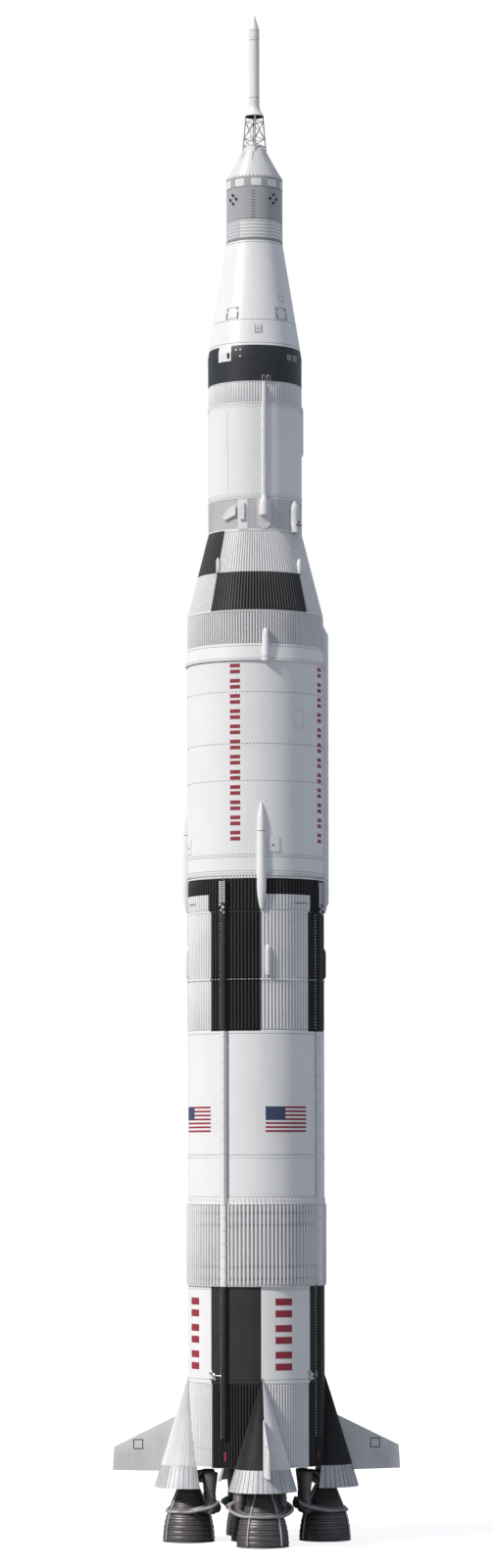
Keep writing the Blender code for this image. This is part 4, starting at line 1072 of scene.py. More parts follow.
def upper_sections():
    """Upper interstage, third stage, instrument ring and spacecraft adapter."""
    skin = cone(SECOND_STAGE_TOP_Z, FORWARD_SKIRT_R, UPPER_INTERSTAGE_TOP_Z, THIRD_R)
    patch_z = 6.976
    interstage = Piece("upper_interstage_skin")
    interstage.add(*ribbed_body(SECOND_STAGE_TOP_Z, UPPER_INTERSTAGE_TOP_Z, skin, RIB_RISE, 136, 0.55,
                                WHITE, WHITE_PAINTED_SHADE, splits=(patch_z,)))
    for bearing in (45, 135, 225, 315):
        outline = ((0.0, 6.968), (0.013, 6.969), (0.0165, 6.974), (0.018, 7.000), (0.018, 7.040),
                   (0.014, 7.064), (0.009, 7.078), (0.0, 7.086))
        interstage.add(turned(outline, POD_SIDES, WHITE, centre=skin(7.010) + 0.006), turn=heading(bearing))

    def patches(bearings, heights):
        low_half = in_sectors(bearings, ((-45, 45), (135, 225))) & (heights < patch_z)
        high_half = in_sectors(bearings, ((-135, -45),)) & (heights > patch_z)
        return low_half | high_half

    # The ribs in the black patches take the lighter black: painted highlight on the ribs.
    interstage.done("upper_interstage", black=patches, black_rib=BLACK_RIB_PAINTED_HIGHLIGHT)

    aft = Piece("third_stage_aft_skin")
    skin = drum(THIRD_R)
    low_z, high_z = UPPER_INTERSTAGE_TOP_Z, THIRD_SKIRT_TOP_Z
    # The skin between the slanted bars takes the darker white: painted shade between them.
    aft.add(skin_body(low_z, high_z, drum(THIRD_R - 0.003), WHITE_PAINTED_SHADE))
    for z in (low_z, high_z - 0.008):
        aft.add(turned(((THIRD_R - 0.004, z), (THIRD_R, z), (THIRD_R, z + 0.008), (THIRD_R - 0.004, z + 0.008)),
                       HULL_SIDES, GREY, loop=True))
    aft.add(repeated(slanted_bar(low_z + 0.006, high_z - 0.006, THIRD_R - 0.003, 0.003, 0.0052, 30), 150, GREY))
    aft.add(rivet_ring(THIRD_R, high_z - 0.012, 0.003, 116, GREY))
    aft.add(plate(-26, -13.8, 7.290, 7.506, skin, 0.004, GREY))
    aft.add(plate(-22.9, -17.4, 7.358, 7.478, skin, 0.020, GREY))
    arc = [(6.1 + 8.8 * math.sin(math.radians(turn)), 7.345 - 0.052 * math.cos(math.radians(turn)))
           for turn in range(-90, 91, 15)]
    aft.add(patch([(-2.7, 7.508), *arc, (14.9, 7.508)], THIRD_R, 0.003, GREY))
    aft.add(patch([(b, z) for b, z in ((-46, 7.384), (-42, 7.360), (-28.2, 7.392), (-28.2, 7.452), (-33.5, 7.455))],
                  THIRD_R, 0.022, GREY))
    aft.done("third_stage_aft_skirt", slot="grey_paint")

    tank = Piece("third_stage_tank_skin")
    tank.add(skin_body(THIRD_SKIRT_TOP_Z, THIRD_TANK_TOP_Z, skin, WHITE, seams=(7.526, 8.190)))
    tank.add(rivet_column(-40, THIRD_R, 7.56, 8.17, 0.0036, 0.0205, SEAM))
    for z in (7.544, 8.172):
        tank.add(rivet_ring(THIRD_R, z, 0.0030, 104, SEAM))
    tank.add(rib(((7.860, THIRD_R, 0.004, 0.020), (7.880, THIRD_R, 0.012, 0.024),
                  (8.200, THIRD_R, 0.012, 0.024), (8.220, THIRD_R, 0.004, 0.020)), 0.0, WHITE, bearing=87))
    tank.done("third_stage_tank")

    forward = Piece("third_stage_forward_skin")
    forward.add(*ribbed_body(THIRD_TANK_TOP_Z, THIRD_STAGE_TOP_Z, skin, 0.005, 104, 0.52, WHITE,
                             WHITE_PAINTED_SHADE, margin=(0.003, 0.006)))
    forward.done("third_stage_forward_skirt")

    ring = Piece("instrument_ring_skin")
    rows = [(0.0, THIRD_STAGE_TOP_Z), (THIRD_R, THIRD_STAGE_TOP_Z), (THIRD_R + 0.0005, 8.505),
            (RING_SHOULDER_R, 8.563), (RING_TOP_R, RING_TOP_Z), (0.0, RING_TOP_Z)]
    ring.add(turned(rows, HULL_SIDES, BLACK_RING))
    ring_skin = cone(THIRD_STAGE_TOP_Z, THIRD_R, 8.563, RING_SHOULDER_R)
    cap_skin = cone(8.563, RING_SHOULDER_R, RING_TOP_Z, RING_TOP_R)
    ring.add(plate(-54.7, -34.9, 8.503, 8.563, ring_skin, 0.0012, WHITE))
    ring.add(plate(-54.7, -34.9, 8.563, RING_TOP_Z, cap_skin, 0.0012, WHITE))
    ring.add(plate(-40.3, -37.0, 8.523, 8.563, ring_skin, 0.004, DARK))
    for bearing, z in ((-28.1, 8.577), (-22.5, 8.579), (-22.5, 8.532)):
        where = cap_skin if z > 8.563 else ring_skin
        ring.add(rivet(bearing, where(z), z, 0.008, WHITE))
    ring.add(plate(37.8, 45.7, 8.515, 8.560, ring_skin, 0.002, SEAM))
    ring.add(plate(48.4, 57.8, 8.515, 8.560, ring_skin, 0.002, SEAM))
    for bearing in (5.8, 12.0):
        hook = [at(bearing + side * 1.6, THIRD_R + 0.006, z) for side, z in
                ((-1, 8.352), (-1, 8.386), (-0.5, 8.395), (0.5, 8.395), (1, 8.386), (1, 8.352))]
        ring.add(tubes([hook], 0.0025, STEEL, 8))
    ring.done("instrument_ring", slot="black_paint")

    adapter = Piece("adapter_skin")
    skin = cone(RING_TOP_Z, RING_TOP_R, ADAPTER_TOP_Z, SERVICE_R)
    adapter.add(skin_body(RING_TOP_Z, ADAPTER_TOP_Z, skin, WHITE, seams=(8.632, 8.804, 9.380)))
    for bearing in OUTER_BEARINGS:
        line = [at(bearing - 9, skin(z) + 0.0005, z) for z in (8.640, 9.375)]
        adapter.add(studs([line], 0.020, 0.0020, WHITE))
    for low_b, high_b in ((-49, -28), (26, 46.5)):
        adapter.add(*frame_plates(low_b, high_b, 8.815, 8.900, skin, 0.004, SEAM))
        for bearing, z in ((low_b + 3, 8.882), (high_b - 3, 8.888)):
            adapter.add(rivet(bearing, skin(z), z, 0.007, DARK))
        for bearing in (low_b + 1.3, high_b - 2.5):
            adapter.add(plate(bearing, bearing + 1.6, 8.812, 8.862, skin, 0.003, SEAM))
    adapter.add(plate(-5.1, 4.4, 8.705, 8.765, skin, 0.002, GREY))
    for low_b, high_b, low, high in ((-5.1, -3.7, 8.712, 8.765), (3.0, 4.4, 8.712, 8.765),
                                     (-5.1, 4.4, 8.705, 8.712), (-2.6, 2.2, 8.728, 8.738)):
        adapter.add(plate(low_b, high_b, low, high, skin, 0.004, GREY_PAINTED_SHADE_AND_LINES))
    adapter.add(*frame_plates(33.9, 45.0, 8.950, 8.990, skin, 0.003, SEAM))
    adapter.done("spacecraft_adapter")


def slanted_bar(low_z, high_z, skin_r, rise, width, turn_degrees):
    """A bar that climbs the skin at a slant, as one thread of a helix."""
    steps = 10
    rows = []
    for step in range(steps + 1):
        share = step / steps
        rows.append((low_z + share * (high_z - low_z), share * turn_degrees))
    points = []
    section = ((-0.5, 0.0), (-0.35, 1.0), (0.35, 1.0), (0.5, 0.0))
    for z, bearing in rows:
        for across, up in section:
            out = skin_r - SINK if up == 0 else skin_r + rise * up
            points.append(at(bearing + math.degrees(across * width * 1.25 / skin_r), out, z))
    count = len(section)
    faces = [tuple(reversed(range(count))), tuple(range(steps * count, steps * count + count))]
    for row in range(steps):
        base = row * count
        for index in range(count):
            follower = (index + 1) % count
            faces.append((base + index, base + follower, base + count + follower, base + count + index))
    return mesh_of(points, faces, [GREY])


# Spacecraft

def service_module():
    """The cylinder under the crew capsule, with its thruster groups and radiators."""
    low_z, high_z = ADAPTER_TOP_Z, SERVICE_TOP_Z
    skin = drum(SERVICE_R)
    piece = Piece("service_module_skin")
    rows = [(0.0, low_z), (SERVICE_R, low_z, MODULE_DARK), (SERVICE_R, low_z + 0.019, MODULE_GREY)]
    rows += seam_rows(skin, 9.550, MODULE_GREY)
    rows += seam_rows(skin, 9.779, MODULE_GREY, width=0.006)
    rows += [(SERVICE_R, high_z - 0.006, SEAM), (SERVICE_R - 0.001, high_z), (0.0, high_z)]
    piece.add(turned(rows, MODULE_SIDES, MODULE_GREY))
    piece.add(repeated(plate(-10.5, 10.5, 9.788, 9.840, skin, 0.0015, WHITE), 10, WHITE, first=-1.0))
    piece.add(rivet_ring(SERVICE_R, low_z + 0.0095, 0.0038, 56, GREY))
    # Two columns of near-black rivet heads: painted shadow of the rivets.
    for bearing in (-9.4, -5.2):
        piece.add(rivet_column(bearing, SERVICE_R, 9.560, 9.775, 0.0044, 0.021, DARK))
    for bearing in (-53.5, 36.5, 126.5, 216.5):
        piece.add(*thruster_group(bearing))
    for low_b in (-35.0, 145.0):
        piece.add(plate(low_b - 55, low_b - 0.5, 9.416, 9.541, skin, 0.001, RADIATOR_GREY))
        faint = plate(low_b - 54, low_b - 1, 9.434, 9.437, skin, 0.0018, MODULE_GREY)
        piece.add(repeated(faint, 5, MODULE_GREY, step=0.0, rise=0.0240))
        piece.add(plate(low_b, low_b + 115, 9.416, 9.541, skin, 0.001, WHITE))
        slat = plate(low_b + 1, low_b + 114, 9.434, 9.4385, skin, 0.003, GREY_PAINTED_SHADE_AND_LINES)
        piece.add(repeated(slat, 5, GREY_PAINTED_SHADE_AND_LINES, step=0.0, rise=0.0240))
        piece.add(plate(low_b + 60, low_b + 60.8, 9.416, 9.541, skin, 0.003, GREY_PAINTED_SHADE_AND_LINES))
    piece.done("service_module", slot="silver_paint")


def thruster_group(bearing):
    """Four small nozzles in a cross on a plate."""
    centre_z = 9.698
    parts = [plate(bearing - 10, bearing + 10, centre_z - 0.040, centre_z + 0.040, drum(SERVICE_R), 0.0006,
                   MODULE_GREY)]
    reach = 0.030
    width = math.degrees(reach / SERVICE_R)
    for across, up in ((-1, 0), (1, 0), (0, -1), (0, 1)):
        cup = turned(((0.0, -0.001), (0.008, -0.001), (0.0098, 0.009), (0.0084, 0.009), (0.0, 0.001)), 14, DARK)
        cup.transform(Matrix.Rotation(math.radians(90), 4, "Y"))
        cup.transform(Matrix.Translation((SERVICE_R, 0, centre_z + up * reach)))
        cup.transform(heading(bearing + across * width))
        parts.append(cup)
    return parts


def cover():
    """The conical cover over the crew capsule."""
    low_z, high_z = SERVICE_TOP_Z, COVER_TOP_Z
    foot_r, shoulder_r, shoulder_z = 0.202, 0.084, 10.066
    piece = Piece("crew_cover")
    rows = [(0.0, low_z), (foot_r, low_z, GREY), (foot_r, low_z + 0.016, COVER_WHITE)]
    skin = cone(low_z, foot_r, shoulder_z, shoulder_r)
    rows += [(skin(shoulder_z - 0.004), shoulder_z - 0.004)]
    steps = 8
    for step in range(1, steps):
        angle = math.pi / 2 * step / steps
        rows.append((shoulder_r * math.cos(angle), shoulder_z + (high_z - shoulder_z) * math.sin(angle)))
    rows.append((0.0, high_z))
    piece.add(turned(rows, MODULE_SIDES, COVER_WHITE))
    tick = plate(-0.7, 0.7, low_z + 0.002, low_z + 0.015, drum(foot_r), 0.0015, SEAM)
    piece.add(repeated(tick, 48, SEAM))
    for bearing in (-58, -12, 34, 80, 126, 172, 218, 264):
        line = [at(bearing + turn, skin(z) + 0.0005, z)
                for z, turn in ((low_z + 0.018, 0.0), (9.950, 1.0), (shoulder_z - 0.006, 3.0))]
        piece.add(tubes([line], 0.0034, SEAM, 8))
    for bearing, z in ((18, 9.968), (-48, 9.945), (-60, 9.917), (-66, 9.885), (140, 9.968)):
        piece.add(plate(bearing - 3.5, bearing + 3.5, z - 0.006, z + 0.006, skin, 0.0025, DARK))
    piece.done("boost_cover")


def leg_point(bearing, height):
    """The centre of a tower leg at a height, as the solids have it."""
    top, foot = 0.062, 0.086
    share = (TOWER_TOP_Z - height) / (TOWER_TOP_Z - 10.045)
    return at(bearing, top + share * (foot - top), height)


def escape_system():
    """Tower, skirt, motor tube and nose."""
    tower = Piece("lattice_tower")
    upper, middle, lower = 10.291, 10.167, 10.109
    legs = [(leg_point(b, 10.052 + 0.0), leg_point(b, TOWER_TOP_Z - 0.001)) for b in OUTER_BEARINGS]
    tower.add(tubes(legs, 0.0046, TOWER_GREY_PAINTED_SHADE, 12))
    bars = []
    for bearing in OUTER_BEARINGS:
        follower = bearing + 90
        for height in (upper, middle, lower):
            bars.append((leg_point(bearing, height), leg_point(follower, height)))
        bars.append((leg_point(bearing, middle), leg_point(follower, upper)))
        bars.append((leg_point(bearing, upper), leg_point(follower, middle)))
        bars.append((leg_point(bearing, lower), leg_point(follower, middle)))
    tower.add(tubes(bars, 0.0028, TOWER_GREY_PAINTED_SHADE, 10))
    for bearing in OUTER_BEARINGS:
        for height in (upper, middle, lower):
            knot = rivet(0.0, 0.0, 0.0, 0.0062, TOWER_GREY_PAINTED_SHADE)
            knot.transform(Matrix.Translation(leg_point(bearing, height)))
            tower.add(knot)
    tower.done("escape_tower")

    skirt = Piece("flared_skirt")
    # The recess and the sloping underside inside the skirt are painted near-black: painted shade.
    rows = [(0.0, 10.375, DARK), (0.035, 10.375, DARK), (0.0655, TOWER_TOP_Z + 0.001, GREY),
            (0.068, TOWER_TOP_Z), (0.069, TOWER_TOP_Z + 0.001), (0.069, TOWER_TOP_Z + 0.006)]
    steps = 6
    for step in range(1, steps + 1):
        share = step / steps
        rows.append((0.069 + (0.038 - 0.069) * math.sin(share * math.pi / 2),
                     TOWER_TOP_Z + 0.006 + (MOTOR_BASE_Z - TOWER_TOP_Z - 0.007) * share))
    rows.append((0.0, MOTOR_BASE_Z - 0.001))
    skirt.add(turned(rows, 64, WHITE))
    skirt.done("escape_skirt")

    motor_r = 0.037
    motor = Piece("escape_motor_tube")
    rows = [(0.0, MOTOR_BASE_Z), (motor_r, MOTOR_BASE_Z)]
    for z in (10.462, 10.880):
        rows += seam_rows(drum(motor_r), z, WHITE, width=0.004, depth=0.0012)
    rows += [(motor_r, MOTOR_TOP_Z - 0.002), (0.0, MOTOR_TOP_Z - 0.002)]
    motor.add(turned(rows, 64, WHITE))
    for z in (10.430, 10.905):
        motor.add(rivet_ring(motor_r, z, 0.0015, 24, SEAM))
    motor.done("escape_motor")

    nose = Piece("nose_tip")
    tip_r = 0.010
    rows = [(0.0, MOTOR_TOP_Z), (motor_r, MOTOR_TOP_Z, SEAM), (motor_r * 0.985, MOTOR_TOP_Z + 0.003, WHITE)]
    rows += [(tip_r, TIP_Z - 0.014), (0.0085, TIP_Z - 0.006), (0.005, TIP_Z - 0.0015), (0.0, TIP_Z)]
    nose.add(turned(rows, 64, WHITE))
    nose.done("escape_nose_cone")


# Engine fairings and fins

def fairing_r(height):
    """The fairing cone's radius about the engine's axis at a height."""
    return FAIRING_LIP_R / (FAIRING_TIP_Z - FAIRING_LIP_Z) * (FAIRING_TIP_Z - height)


def open_angle(height):
    """How far round from its outermost line the fairing's cone stays outside the hull, in degrees."""
    r = fairing_r(height)
    hull = STAGE_R - 0.004
    cosine = (hull ** 2 - ENGINE_CIRCLE_R ** 2 - r ** 2) / (2 * ENGINE_CIRCLE_R * max(r, 0.001))
    return math.degrees(math.acos(max(-1.0, min(1.0, cosine))))


def fairing_and_fin(number, bearing):
    """One half cone with its ribs and bare skirt, and the fin on it."""
    piece = Piece(f"fairing_skin_{number}")
    wall = 0.006
    heights = [FAIRING_LIP_Z, 0.430, 0.475, 0.515, 0.5545, 0.5555, 0.60, 0.70, 0.80, 0.90, 1.00, 1.08, 1.14,
               1.18, FAIRING_TIP_Z - 0.004]
    panel = 9.0
    generator = random.Random(number)
    points = []
    faces = []
    indices = []
    # The painted part of the cone between its ribs takes the darker white, painted shade; in black areas it turns
    # to the darker black.
    materials = [WHITE_PAINTED_SHADE, *SKIRT_TONES, SEAM]
    columns = 81

    def shell_point(height, share, inset):
        angle = open_angle(height) * (2 * share - 1)
        r = max(fairing_r(height) - inset, 0.0005)
        turn = math.radians(angle)
        return Vector((ENGINE_CIRCLE_R + r * math.cos(turn), r * math.sin(turn), height))

    for inset in (0.0, wall):
        for height in heights:
            for column in range(columns):
                points.append(shell_point(height, column / (columns - 1), inset))
    back = len(heights) * columns
    tones = [generator.randrange(3) for _ in range(60)]
    for row in range(len(heights) - 1):
        bare = heights[row + 1] < BASE_Z
        for column in range(columns - 1):
            a = row * columns + column
            faces.append((a, a + 1, a + columns + 1, a + columns))
            angle = open_angle(heights[row]) * (2 * (column + 0.5) / (columns - 1) - 1)
            indices.append(1 + tones[int((angle + 180) // panel)] if bare else 0)
            faces.append((back + a, back + a + columns, back + a + columns + 1, back + a + 1))
            indices.append(3)
    top = (len(heights) - 1) * columns
    for column in range(columns - 1):
        faces.append((column + 1, column, back + column, back + column + 1))
        indices.append(3)
        faces.append((top + column, top + column + 1, back + top + column + 1, back + top + column))
        indices.append(0)
    for row in range(len(heights) - 1):
        a = row * columns
        faces.append((a + columns, back + a + columns, back + a, a))
        indices.append(0)
        b = a + columns - 1
        faces.append((b, back + b, back + b + columns, b + columns))
        indices.append(0)
    piece.add(mesh_of(points, faces, materials, indices))
    slope_rows = (0.557, 0.64, 0.75, 0.86, 0.97, 1.06, 1.13, 1.175)
    for index in range(-19, 20):
        angle = index * panel / 2
        rows = []
        for height in slope_rows:
            r = fairing_r(height)
            if abs(angle) < open_angle(height) - 1.0:
                rows.append((height, r, 0.0030 if height < 1.1 else 0.0014, r * math.radians(panel / 2) * 0.66))
        if len(rows) > 1:
            bar = rib(rows, 0.0, WHITE, bearing=90 + angle)
            bar.transform(Matrix.Translation((ENGINE_CIRCLE_R, 0, 0)))
            piece.add(bar)
    for index in range(-12, 13):
        angle = (index + 0.5) * panel
        rows = [(z, fairing_r(z), 0.0014, 0.0036) for z in (FAIRING_LIP_Z + 0.001, 0.475, 0.553)
                if abs(angle) < open_angle(z) - 1.0]
        if len(rows) > 1:
            strip = rib(rows, 0.0, SEAM, bearing=90 + angle)
            strip.transform(Matrix.Translation((ENGINE_CIRCLE_R, 0, 0)))
            piece.add(strip)
    piece.form.transform(heading(bearing))
    piece.done(f"engine_fairing_{number}", black=roll_pattern)

    fin = Piece(f"fin_skin_{number}")
    fin.add(*fin_parts())
    fin.form.transform(heading(bearing))
    fin.done(f"fin_{number}", slot="grey_paint")


FIN_ROOT_TOP_Z, FIN_ROOT_LOW_Z, FIN_TIP_TOP_Z, FIN_TIP_LOW_Z = 0.913, 0.511, 0.689, 0.520
FIN_THICKNESS = ((0.0, 0.013), (0.03, 0.0131), (0.5, 0.0085), (0.97, 0.0045), (1.0, 0.001))


def fin_parts():
    """A fin as a thin wedge-shaped blade with a blunt edge and a plain square mark."""
    def edge_x(z):
        return ENGINE_CIRCLE_R + fairing_r(z) - 0.004

    tip_top, tip_low = (1.035, FIN_TIP_TOP_Z), (1.046, FIN_TIP_LOW_Z)
    root_top, root_low = FIN_ROOT_TOP_Z, FIN_ROOT_LOW_Z
    columns = 9
    points = []
    for side in (-1, 1):
        for column in range(columns + 1):
            share = column / columns
            top_z = root_top + (tip_top[1] - root_top) * share
            low_z = root_low + (tip_low[1] - root_low) * share
            top_x = edge_x(root_top) + (tip_top[0] - edge_x(root_top)) * share
            low_x = edge_x(root_low) + (tip_low[0] - edge_x(root_low)) * share
            for step, thickness in FIN_THICKNESS:
                taper = 1.0 if share < 0.99 else 0.6
                points.append(Vector((low_x + (top_x - low_x) * step, side * thickness * taper,
                                      low_z + (top_z - low_z) * step)))
    per = 5
    half = (columns + 1) * per
    faces = []
    for column in range(columns):
        for step in range(per - 1):
            a = column * per + step
            faces.append((a, a + per, a + per + 1, a + 1))
            b = half + a
            faces.append((b, b + 1, b + per + 1, b + per))
    rim = [column * per for column in range(columns + 1)]
    rim += [columns * per + step for step in range(1, per)]
    rim += [column * per + per - 1 for column in reversed(range(columns))]
    rim += [step for step in reversed(range(1, per - 1))]
    for here, there in zip(rim, rim[1:] + rim[:1]):
        faces.append((here, half + here, half + there, there))
    blade = mesh_of(points, faces, [FIN_GREY])
    form = bmesh.new()
    form.from_mesh(blade)
    bmesh.ops.recalc_face_normals(form, faces=form.faces)
    form.to_mesh(blade)
    form.free()
    parts = [blade]
    for side in (-1, 1):
        parts.append(square_mark(side))
    return parts


def square_mark(side):
    """A plain square outline on the fin's side, laid on the blade's own slope."""
    middle_x, middle_z, half, line = 0.862, 0.7055, 0.036, 0.0065

    def blade_y(x, z):
        low_z = FIN_ROOT_LOW_Z + (FIN_TIP_LOW_Z - FIN_ROOT_LOW_Z) * (x - 0.68) / 0.366
        top_z = FIN_ROOT_TOP_Z - (FIN_ROOT_TOP_Z - FIN_TIP_TOP_Z) * (x - 0.58) / 0.455
        step = (z - low_z) / (top_z - low_z)
        return float(np.interp(step, *zip(*FIN_THICKNESS))) + 0.0006

    points = []
    faces = []
    for low, high in (
        ((-half, -half), (half, -half + line)), ((-half, half - line), (half, half)),
        ((-half, -half + line), (-half + line, half - line)), ((half - line, -half + line), (half, half - line)),
    ):
        start = len(points)
        for depth in (0.003, 0.0):
            for x, z in ((low[0], low[1]), (high[0], low[1]), (high[0], high[1]), (low[0], high[1])):
                points.append((middle_x + x, side * (blade_y(middle_x + x, middle_z + z) - depth), middle_z + z))
        faces.append((start, start + 1, start + 2, start + 3))
        faces.append((start + 7, start + 6, start + 5, start + 4))
        for index in range(4):
            follower = (index + 1) % 4
            faces.append((start + index, start + 4 + index, start + 4 + follower, start + follower))
    mark = mesh_of(points, faces, [DARK])
    form = bmesh.new()
    form.from_mesh(mark)
    bmesh.ops.recalc_face_normals(form, faces=form.faces)
    form.to_mesh(mark)
    form.free()
    return mark


# Engines

LIP_R = 0.188
BAND_PITCH = 0.037
FINE_PITCH = 0.0155
BELL_STATIONS = (
    (0.0, 0.186), (0.05, 0.1835), (0.10, 0.1785), (0.13, 0.1735), (0.16, 0.1675), (0.186, 0.160),
    (0.215, 0.150), (0.257, 0.135), (0.30, 0.116), (0.343, 0.098), (0.385, 0.078), (0.412, 0.062),
    (0.44, 0.0445),
)
MANIFOLD_ANGLE = 132.0
DUCT_REACH = 0.213
DUCT_ROWS = (
    (0.0, 0.205), (0.026, 0.206), (0.034, 0.214), (0.0355, 0.226), (0.0355, 0.343), (0.033, 0.347),
    (0.033, 0.359), (0.0352, 0.364), (0.0362, 0.390), (0.0415, 0.430), (0.0470, 0.470), (0.0492, 0.500),
    (0.047, 0.507), (0.036, 0.511), (0.0, 0.511),
)
ELBOW_REACH = 0.250
ELBOW_Z = 0.257
ELBOW_HALF = 0.027
ELBOW_ROWS = (
    (0.0, -ELBOW_HALF), (0.019, -ELBOW_HALF), (0.021, -ELBOW_HALF + 0.004), (0.026, -ELBOW_HALF + 0.004),
    (0.028, -ELBOW_HALF), (0.035, -ELBOW_HALF), (0.041, -ELBOW_HALF + 0.007),
)
ROPE_Z = 0.222
ROPE_END = (
    (93, 0.178, 0.227), (104, 0.206, 0.236), (114, 0.240, 0.248), (122, 0.266, 0.260), (129, 0.280, 0.274),
    (136, 0.276, 0.289), (141, 0.253, 0.293), (141, 0.229, 0.286),
)


def bell_skin(z):
    """The nozzle's radius at a height, without its bands."""
    return float(np.interp(z, *zip(*BELL_STATIONS)))


def bell_rows():
    """The nozzle's outline: banded outside, smooth inside."""
    rows = [(LIP_R - 0.006, 0.0), (LIP_R, 0.0, NOZZLE_BAND), (LIP_R, 0.008, NOZZLE_BAND),
            (bell_skin(0.011), 0.011, NOZZLE)]
    z = 0.020
    while z < 0.190:
        for share, rise, band in ((0.0, 0.0, NOZZLE_BAND), (0.08, 0.0035, NOZZLE_BAND),
                                  (0.34, 0.0035, NOZZLE), (0.42, 0.0012, NOZZLE),
                                  (0.55, 0.0028, NOZZLE_BAND), (0.68, 0.0012, NOZZLE), (0.85, 0.0, NOZZLE)):
            here = z + share * BAND_PITCH
            rows.append((bell_skin(here) + rise, here, band))
        z += BAND_PITCH
    z = 0.212
    while z < 0.425:
        for share, rise, band in ((0.0, 0.0, NOZZLE_BAND), (0.15, 0.0022, NOZZLE_BAND),
                                  (0.45, 0.0022, NOZZLE), (0.6, 0.0, NOZZLE)):
            here = z + share * FINE_PITCH
            rows.append((bell_skin(here) + rise, here, band))
        z += FINE_PITCH
    rows += [(0.0445, 0.440), (0.047, 0.452), (0.051, 0.460), (0.051, 0.490), (0.046, 0.500), (0.0, 0.500)]
    rows += [(0.0, 0.490), (0.043, 0.490), (0.043, 0.456), (0.0385, 0.440)]
    for z in (0.41, 0.372, 0.30, 0.23, 0.17, 0.10, 0.05):
        rows.append((bell_skin(z) - 0.006, z))
    return rows


def blended(low, high, value):
    """A smooth step from 0 at low to 1 at high."""
    share = max(0.0, min(1.0, (value - low) / (high - low)))
    return share * share * (3 - 2 * share)


def smooth_line(knots, steps=8):
    """A smooth line of points through knots."""
    knots = [Vector(knot) for knot in knots]
    padded = [2 * knots[0] - knots[1], *knots, 2 * knots[-1] - knots[-2]]
    line = []
    for before, start, end, after in zip(padded, padded[1:], padded[2:], padded[3:]):
        for step in range(steps):
            t = step / steps
            line.append(0.5 * (2 * start + (end - before) * t + (2 * before - 5 * start + 4 * end - after) * t * t
                               + (3 * start - 3 * end + after - before) * t ** 3))
    line.append(knots[-1])
    return line


def around(angle, reach, z):
    """A point at an angle from the engine's outboard side, in the engine's own place."""
    turn = math.radians(angle)
    return Vector((reach * math.cos(turn), reach * math.sin(turn), z))


def manifold():
    """The tapered pipe that wraps the nozzle's inboard side from duct to duct."""
    steps = 72
    sides = 16
    points = []
    for step in range(steps + 1):
        angle = -MANIFOLD_ANGLE + 2 * MANIFOLD_ANGLE * step / steps
        share = blended(88.0, MANIFOLD_ANGLE, abs(angle))
        reach, z, radius = 0.143 + 0.060 * share, 0.238 + 0.010 * share, 0.012 + 0.017 * share
        out = around(angle, 1.0, 0.0)
        for index in range(sides):
            turn = 2 * math.pi * index / sides
            points.append(out * (reach + radius * math.cos(turn)) + Vector((0, 0, z + radius * math.sin(turn))))
    faces = [tuple(range(sides)), tuple(reversed(range(steps * sides, steps * sides + sides)))]
    for step in range(steps):
        for index in range(sides):
            follower = (index + 1) % sides
            a = step * sides
            faces.append((a + index, a + sides + index, a + sides + follower, a + follower))
    return mesh_of(points, faces, [ENGINE])


def pale_rope():
    """The braided line round the nozzle, which curls up round the elbow of each duct."""
    half = [around(angle, 0.159, ROPE_Z) for angle in (0, 20, 40, 60, 78)]
    half += [around(*knot) for knot in ROPE_END]
    mirrored = [Vector((knot.x, -knot.y, knot.z)) for knot in reversed(half[1:])]
    line = smooth_line(mirrored + half)
    wrap = grown(lines_mesh([line]), ROPE, {
        "Spacing": 0.0105, "Radius": 0.0124, "Lay": math.radians(38), "Finish": WRAP,
    })
    return [tubes([line], 0.0100, NOZZLE_BAND, 10), wrap]


def bell_rods(rod_angle):
    """The pale thin pipes down the nozzle, with a collar at the rope and one at the lip."""
    parts = []
    lines = []
    collars = []
    for angle in (-180 + rod_angle, -rod_angle, rod_angle, 180 - rod_angle):
        lines.append([around(angle, bell_skin(z) + 0.007, z) for z in (0.425, 0.37, 0.31, 0.26, 0.228)])
        lines.append([around(angle, bell_skin(z) + 0.007, z) for z in (0.214, 0.18, 0.15, 0.10, 0.05, 0.014)])
        for low, high in ((0.200, 0.214), (0.232, 0.244), (0.018, 0.030)):
            collars.append([around(angle, bell_skin(z) + 0.007, z) for z in (low, high)])
    parts.append(tubes(lines, 0.0058, ROD, 10))
    parts.append(tubes(collars, 0.0082, WRAP, 10))
    return parts


def nozzle_piece(name, centre, bearing, body, node, gimballed):
    """One nozzle with its chamber, manifold and pipes."""
    piece = Piece(name)
    piece.add(turned(bell_rows(), BELL_SIDES, NOZZLE, loop=True))
    piece.add(manifold(), *pale_rope())
    piece.add(*bell_rods(40 if bearing in (0, CENTRE_ENGINE_BEARING) else 28))
    dome = turned(((0.0, 0.488), (0.056, 0.488), (0.056, 0.496), (0.0, 0.496)), 32, ENGINE)
    piece.add(dome)
    piece.add(repeated(rivet(0.0, 0.053, 0.496, 0.0025, STEEL), 16, STEEL))
    piece.form.transform(Matrix.Translation((centre, 0, 0)))
    if gimballed:
        for side in (-1, 1):
            piece.add(gimbal_ear(centre + side * 0.0175))
    else:
        piece.add(block((-0.009, -0.009, 0.494), (0.009, 0.009, BASE_Z - 0.0003)))
    piece.form.transform(heading(bearing))
    piece.done(node, body=body, slot="nozzle_metal")


